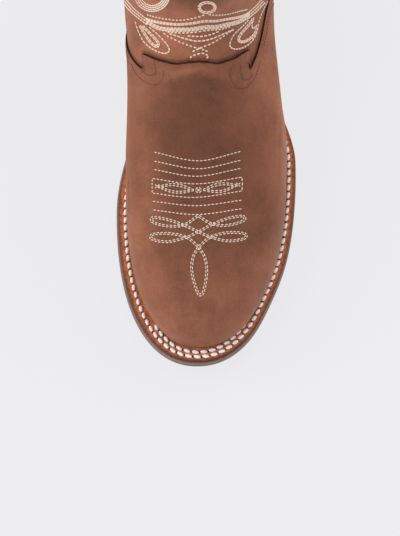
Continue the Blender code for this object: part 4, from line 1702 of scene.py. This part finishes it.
def heel_place(turn, inset, share):
    """Point of the heel block's side, whose breast slopes back towards the floor."""
    place = outline(turn, inset)
    place.y += BREAST_SLOPE * (1.0 - share) * (1.0 - abs(turn)) / (1.0 - turn_of(HEEL_BREAST))
    place.z = (HEEL_RISE - GAP) * share
    return place


def both_sides(turn, side, place_at):
    """Loop up the inner side of a sole or heel and down its outer side."""
    inner = [place_at(-turn, step.inset, step.share) for step in side]
    outer = [place_at(turn, step.inset, step.share) for step in side]
    return inner + outer[::-1]


def mould_bars(mesh_data, edges, steps, inset, floor_at):
    """Cross bars between the stations of their grooves, a lug's depth over the floor."""
    for front, back in zip(edges, edges[1:]):
        loops = []
        for station in between(front + LUG_GROOVE / 2, back - LUG_GROOVE / 2, steps):
            turn = turn_of(station)
            left = outline(-turn, inset).x
            right = outline(turn, inset).x
            low = floor_at(station)
            high = low + LUG_DEPTH
            across = ((left, low), (right, low), (right, high), (left, high))
            loops.append([Vector((x, station - SOLE_LENGTH / 2, z)) for x, z in across])
        swept(mesh_data, loops)


def lug_turns(sign):
    """Turns of the lug grooves, evenly spaced along one edge from the toe."""
    turns = []
    travelled = LUG_PITCH / 2
    before = outline(0.0, 0.0)
    for turn in between(0.0, sign * LUG_LAST_TURN, LUG_SEARCH_STEPS)[1:]:
        place = outline(turn, 0.0)
        travelled += (place - before).length
        before = place
        if travelled >= LUG_PITCH:
            turns.append(turn)
            travelled -= LUG_PITCH
    return turns


class BOOT_OT_outsole(bpy.types.Operator):
    """Mould the outsole with its banded side, edge lugs and cross bars"""

    bl_idname = "boot.mould_outsole"
    bl_label = "Outsole"

    def execute(self, context):
        mesh_data = bmesh.new()
        self.mould_body(mesh_data)
        self.mould_edge_lugs(mesh_data)
        edges = (BAR_STATIONS[0] - FIRST_BAR,) + BAR_STATIONS
        mould_bars(mesh_data, edges, BAR_STEPS, LUG_INSIDE + RING_GROOVE, tread_line)
        piece = new_piece("outsole_rubber", mesh_data, finish("rubber"), "outsole", "outsole")
        soften(piece, RUBBER_EDGES)
        return {"FINISHED"}

    def mould_body(self, mesh_data):
        first = turn_of(WELT_END)
        second = turn_of(WELT_END + 2 * GAP)
        turns = [turn for turn in between(0.0, 1.0, SOLE_STEPS) if abs(turn - first) > SEAT_CLEAR_TURN]
        turns = sorted(turns + [first, second])
        swept(mesh_data, [both_sides(turn, SOLE_SIDE, sole_place) for turn in turns], capped=False)

    def mould_edge_lugs(self, mesh_data):
        grooves = sorted(lug_turns(-1.0) + lug_turns(1.0))
        for before, after in zip(grooves, grooves[1:]):
            span = (outline(after, 0.0) - outline(before, 0.0)).length
            trim = LUG_GROOVE / 2 / span * (after - before)
            loops = []
            for turn in between(before + trim, after - trim, LUG_STEPS):
                loops.append([sole_place(turn, step.inset, step.share) for step in LUG_SECTION])
            swept(mesh_data, loops)


class BOOT_OT_heel(bpy.types.Operator):
    """Mould the heel block with its grooved tread"""

    bl_idname = "boot.mould_heel"
    bl_label = "Heel"

    def execute(self, context):
        mesh_data = bmesh.new()
        turns = between(turn_of(HEEL_BREAST), HEEL_END_TURN, HEEL_STEPS)
        swept(mesh_data, [both_sides(turn, HEEL_SIDE, heel_place) for turn in turns])
        first = HEEL_BREAST + BREAST_SLOPE - LUG_GROOVE / 2
        last = SOLE_LENGTH + LUG_GROOVE / 2 - HEEL_BACK_TRIM
        edges = (first,) + HEEL_BAR_STATIONS + (last,)
        mould_bars(mesh_data, edges, HEEL_BAR_STEPS, HEEL_TAPER, lambda station: 0.0)
        piece = new_piece("heel_rubber", mesh_data, finish("rubber"), "heel", "heel")
        soften(piece, RUBBER_EDGES)
        return {"FINISHED"}


class BOOT_OT_insole(bpy.types.Operator):
    """Finish the insole board"""

    bl_idname = "boot.finish_insole"
    bl_label = "Insole"

    def execute(self, context):
        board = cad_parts["insole"]
        board.data.materials.clear()
        board.data.materials.append(finish("board"))
        return {"FINISHED"}


def side_seam_turn(sign, level, start):
    """Turn of a side seam, which bends forwards as it goes up the shaft."""
    return sign * mix(SEAM_TURN, SEAM_TOP_TURN, ease((level - start) / SEAM_BENDS_OVER))


def side_seam_levels(sign):
    """Levels where a side seam starts and ends."""
    start = level_at(sign * SEAM_TURN, SEAM_HEIGHT + PIPING_ABOVE_OVERLAY)
    top = upper_point(sign * SEAM_TOP_TURN, COLLAR_LEVEL).z
    return start, level_at(sign * SEAM_TOP_TURN, top - PIPING_BELOW_COLLAR)


class BOOT_OT_side_seams(bpy.types.Operator):
    """Lay the piping up both sides of the shaft"""

    bl_idname = "boot.lay_side_seams"
    bl_label = "Side Seams"

    def execute(self, context):
        self.lay("piping_inner", "side_seam_inner", -1.0)
        self.lay("piping_outer", "side_seam_outer", 1.0)
        return {"FINISHED"}

    def lay(self, name, node, sign):
        start, end = side_seam_levels(sign)
        loops = []
        for level in between(start, end, PIPING_STEPS):
            turn = side_seam_turn(sign, level, start)
            place = shaft_place(turn, level)
            outward = upper_normal(turn, level)
            above = upper_point(turn, min(level + SEAM_LEVEL_STEP, COLLAR_LEVEL))
            rise = (above - upper_point(turn, level - SEAM_LEVEL_STEP)).normalized()
            across = rise.cross(outward).normalized()
            loop = []
            for angle in between(0.0, math.pi, PIPING_SIDES):
                wide = math.cos(angle) * PIPING_WIDTH / 2
                high = math.sin(angle) * PIPING_HEIGHT
                loop.append(place + across * wide + outward * (high + OVERLAY_GAP / 2))
            loops.append(loop)
        mesh_data = bmesh.new()
        swept(mesh_data, loops)
        piece = new_piece(name, mesh_data, finish("piping"), node, node)
        shade_smooth(piece)


# Stitching


class BOOT_OT_welt_stitches(bpy.types.Operator):
    """Sew the welt with white thread, with dark marks of painted shade in its holes"""

    bl_idname = "boot.sew_welt"
    bl_label = "Welt Stitches"

    def execute(self, context):
        stitching = context.scene.boot_stitching
        end = turn_of(WELT_END - WELT_ROW_END)
        rows = ((stitching.welt_row, -end, end), (stitching.welt_inner_row, *INNER_ROW_TURNS))
        threads = []
        hole_shades = []
        for inset, first, last in rows:
            track = []
            for turn in between(first, last, WELT_ROW_STEPS):
                place = welt_place(turn, inset + welt_row_shift(turn), WELT_THICK)
                track.append((place, Vector((0.0, 0.0, 1.0))))
            threads.extend(stitches_along(track, stitching.welt_pitch, WELT_SEWING, slant=WELT_SLANT))
            hole_shades.extend(stitches_along(track, stitching.welt_pitch, WELT_HOLE_SHADING, ahead=0.5))
        joined_threads("welt_threads", threads, finish("welt_thread"))
        joined_threads("welt_holes", hole_shades, finish("hole"))
        return {"FINISHED"}


class BOOT_OT_vamp_stitches(bpy.types.Operator):
    """Sew the cream rows and the toe leaves on the vamp"""

    bl_idname = "boot.sew_vamp"
    bl_label = "Vamp Stitches"

    def execute(self, context):
        surface = surface_of("vamp_leather")
        pitch = context.scene.boot_stitching.vamp_pitch
        threads = []
        # Dark strips of painted shade in the grooves under the stitches
        grooves = []
        for line in self.lines():
            track = track_of(line, surface)
            threads.extend(stitches_along(track, pitch, VAMP_SEWING))
            grooves.extend(stitches_along(track, pitch, VAMP_GROOVE_SHADING))
        joined_threads("vamp_threads", threads, finish("thread"))
        joined_threads("vamp_grooves", grooves, finish("groove"))
        return {"FINISHED"}

    def lines(self):
        """Lines of marks of all the rows, the band between them and the toe leaves."""
        lines = [curve_marks(row, VAMP_ROW_STEPS) for row in VAMP_ROWS]
        lines += [curve_marks(row, BAND_END_STEPS) for row in BAND_ENDS]
        lines += BAND_CROSSES
        for lens in BAND_LENSES:
            lines += [lens_marks(lens, LENS_STEPS, side) for side in (-1.0, 1.0)]
        for ring in BAND_RINGS:
            lines += [lens_marks(ring, RING_STEPS, side, ring=True) for side in (-1.0, 1.0)]
        for leaf in TOE_LEAVES:
            line = curve_marks(leaf, LEAF_STEPS)
            lines += [beside(line, side * DOUBLE_ROW_APART / 2) for side in (1.0, -1.0)]
        return lines


class BOOT_OT_edge_stitches(bpy.types.Operator):
    """Sew the dark rows along the edges of the vamp, counter, side seams and collar"""

    bl_idname = "boot.sew_edges"
    bl_label = "Edge Stitches"

    def execute(self, context):
        pitch = context.scene.boot_stitching.edge_pitch
        vamp = surface_of("vamp_leather")
        counter = surface_of("counter_leather")
        shaft = surface_of("shaft_leather")
        fine = [track_of(curve_marks(row, VAMP_ROW_STEPS), vamp) for row in DARK_ROWS]
        for below in PANEL_ROWS_BELOW:
            fine += [self.below_edge(first, last, below, vamp) for first, last in WING_ROW_TURNS]
            fine.append(self.below_edge(*COUNTER_ROW_TURNS, below, counter))
        coarse = []
        for sign in (-1.0, 1.0):
            coarse += [self.beside_seam(sign, side * SEAM_ROW_ASIDE, shaft) for side in (-1.0, 1.0)]
        coarse += [self.below_collar(below, shaft) for below in COLLAR_ROWS_BELOW]
        threads = []
        for track in fine:
            threads.extend(stitches_along(track, DARK_ROW_PITCH, DARK_ROW_SEWING))
        for track in coarse:
            threads.extend(stitches_along(track, pitch, EDGE_SEWING))
        joined_threads("edge_threads", threads, finish("dark_thread"))
        return {"FINISHED"}

    def below_edge(self, first, last, below, surface):
        """Row along the top edge of a panel."""
        points = []
        for turn in between(first, last, PANEL_ROW_STEPS):
            height = edge_height(turn)
            turn = leaned(turn, height)
            level = level_at(turn, height)
            slope = (upper_point(turn, level) - upper_point(turn, level - LEVEL_STEP)).length / LEVEL_STEP
            points.append(upper_lifted(turn, level - below / slope, OVERLAY_GAP + OVERLAY + OFF_PANEL))
        return snapped(points, surface)

    def beside_seam(self, sign, aside, surface):
        """Row beside the piping of a side seam."""
        start, end = side_seam_levels(sign)
        points = []
        for level in between(start + SEAM_ROW_START, end, SEAM_ROW_STEPS):
            turn = side_seam_turn(sign, level, start)
            ahead = upper_point(turn + SEAM_TURN_STEP, level)
            around = (ahead - upper_point(turn - SEAM_TURN_STEP, level)).length / (2 * SEAM_TURN_STEP)
            points.append(upper_lifted(turn + aside / around, level, OFF_SHAFT))
        return snapped(points, surface)

    def below_collar(self, below, surface):
        """Row round the shaft under the collar."""
        points = []
        for turn in between(-1.0, 1.0, COLLAR_ROW_STEPS):
            points.append(off_shaft(turn, upper_point(turn, COLLAR_LEVEL).z - below))
        return snapped(points, surface)


def off_shaft(turn, height):
    """Point just off the shaft at a turn and a height."""
    turn = wrapped(turn)
    return upper_lifted(turn, level_at(turn, height), OFF_SHAFT)


def arch_at(arch, share):
    """Turn aside and height of half a pointed arch, from its foot to its tip."""
    wave = ARCH_WAVE * math.sin(3 * math.pi * share)
    height = arch.base + arch.rise * share ** ARCH_RISE_POWER + wave
    return arch.spread * (1.0 - share) ** ARCH_ASIDE_POWER, height


def leaf_at(leaf, share):
    """Turn aside and height of half a leaf, from its foot to its tip."""
    aside = leaf.spread * math.sin(math.pi * share) * (1.0 - LEAF_NARROWS * share)
    return aside, leaf.base + leaf.rise * share


class BOOT_OT_shaft_stitches(bpy.types.Operator):
    """Sew the cream embroidery of the shaft"""

    bl_idname = "boot.sew_shaft"
    bl_label = "Shaft Stitches"

    def execute(self, context):
        surface = surface_of("shaft_leather")
        pitch = context.scene.boot_stitching.vamp_pitch
        threads = []
        for sewn in SHAFT_ROWS:
            line = curve_marks(sewn.marks, SHAFT_ROW_STEPS)
            bead = SHAFT_SEWING._replace(fill=sewn.fill)
            for row in range(sewn.rows):
                offset = (row - (sewn.rows - 1) / 2) * sewn.apart
                threads.extend(stitches_along(track_of(beside(line, offset), surface), SHAFT_PITCH, bead))
        front = [(arch, arch_at, 0.0) for arch in ARCHES]
        back = [(arch, arch_at, 1.0) for arch in ARCHES] + [(leaf, leaf_at, 1.0) for leaf in LEAVES]
        for motif, half_at, centre in front + back:
            for track in self.motif_rows(motif, half_at, centre, surface):
                threads.extend(stitches_along(track, pitch, SHAFT_SEWING))
        joined_threads("shaft_threads", threads, finish("shaft_thread"))
        return {"FINISHED"}

    def motif_rows(self, motif, half_at, centre, surface):
        """Double rows up both halves of an arch or leaf above what the photo shows."""
        tracks = []
        for sign in (-1.0, 1.0):
            for shift in (0.0, MOTIF_ROW_APART):
                points = []
                for share in between(0.0, 1.0, MOTIF_STEPS):
                    aside, height = half_at(motif, share)
                    points.append(off_shaft(centre + sign * aside, height + shift))
                tracks.append(snapped(points, surface))
        return tracks


# Stage


class BOOT_OT_stage(bpy.types.Operator):
    """Set the floor, the soft light and the camera of the photo"""

    bl_idname = "boot.set_stage"
    bl_label = "Stage"

    def execute(self, context):
        scene = context.scene
        self.lay_floor(scene)
        world = bpy.data.worlds.new("studio")
        scene.world = world
        world.use_nodes = True
        sky = world.node_tree.nodes["Background"]
        sky.inputs["Color"].default_value = (1.0, 1.0, 1.0, 1.0)
        sky.inputs["Strength"].default_value = SKY_STRENGTH
        for sun in SUNS:
            self.add_sun(scene, sun)
        self.add_camera(scene)
        scene.view_settings.view_transform = "Standard"
        return {"FINISHED"}

    def lay_floor(self, scene):
        floor_data = bmesh.new()
        bmesh.ops.create_grid(floor_data, x_segments=2, y_segments=2, size=FLOOR_SIZE)
        mesh = bpy.data.meshes.new("floor")
        floor_data.to_mesh(mesh)
        floor_data.free()
        floor = bpy.data.objects.new("floor", mesh)
        scene.collection.objects.link(floor)
        material, _, shader = new_material("pale_floor")
        shader.inputs["Base Color"].default_value = FLOOR_COLOUR
        shader.inputs["Roughness"].default_value = 0.9
        shader.inputs["Specular IOR Level"].default_value = 0.0
        shader.inputs["Emission Color"].default_value = FLOOR_GLOW
        shader.inputs["Emission Strength"].default_value = 1.0
        mesh.materials.append(material)

    def add_sun(self, scene, sun):
        light = bpy.data.lights.new(sun.name, "SUN")
        light.energy = sun.strength
        light.angle = math.radians(sun.spread)
        holder = bpy.data.objects.new(sun.name, light)
        holder.rotation_mode = "QUATERNION"
        holder.rotation_quaternion = Vector(sun.towards).to_track_quat("Z", "Y")
        scene.collection.objects.link(holder)

    def add_camera(self, scene):
        camera = bpy.data.cameras.new("photo_camera")
        camera.sensor_width = SENSOR_MM
        camera.sensor_fit = "AUTO"
        camera.lens = CAMERA_FOCAL_PIXELS * SENSOR_MM / IMAGE_HIGH
        camera.clip_start = 0.01
        camera.clip_end = 50.0
        right, up, view = camera_axes()
        turned = Matrix((right, up, -view)).transposed().to_4x4()
        turned.translation = camera_eye()
        holder = bpy.data.objects.new("photo_camera", camera)
        holder.matrix_world = turned
        scene.collection.objects.link(holder)
        scene.camera = holder


STEPS = (
    BOOT_OT_upper,
    BOOT_OT_vamp,
    BOOT_OT_counter,
    BOOT_OT_welt,
    BOOT_OT_outsole,
    BOOT_OT_heel,
    BOOT_OT_insole,
    BOOT_OT_side_seams,
    BOOT_OT_welt_stitches,
    BOOT_OT_vamp_stitches,
    BOOT_OT_edge_stitches,
    BOOT_OT_shaft_stitches,
    BOOT_OT_stage,
)


class BOOT_PT_panel(bpy.types.Panel):
    """Pieces of the boot in the sidebar"""

    bl_idname = "BOOT_PT_panel"
    bl_label = "Western Work Boot"
    bl_space_type = "VIEW_3D"
    bl_region_type = "UI"
    bl_category = "Boot"

    def draw(self, context):
        layout = self.layout
        for group in (context.scene.boot_colours, context.scene.boot_stitching):
            for name in group.__annotations__:
                layout.prop(group, name)
        for step in STEPS:
            layout.operator(step.bl_idname)


CLASSES = (BootColours, BootStitching) + STEPS + (BOOT_PT_panel,)


def register():
    for kind in CLASSES:
        bpy.utils.register_class(kind)
    bpy.types.Scene.boot_colours = bpy.props.PointerProperty(type=BootColours)
    bpy.types.Scene.boot_stitching = bpy.props.PointerProperty(type=BootStitching)


def unregister():
    del bpy.types.Scene.boot_stitching
    del bpy.types.Scene.boot_colours
    for kind in reversed(CLASSES):
        bpy.utils.unregister_class(kind)


def main():
    register()
    for step in STEPS:
        space, name = step.bl_idname.split(".")
        getattr(getattr(bpy.ops, space), name)()


if __name__ == "__main__":
    main()
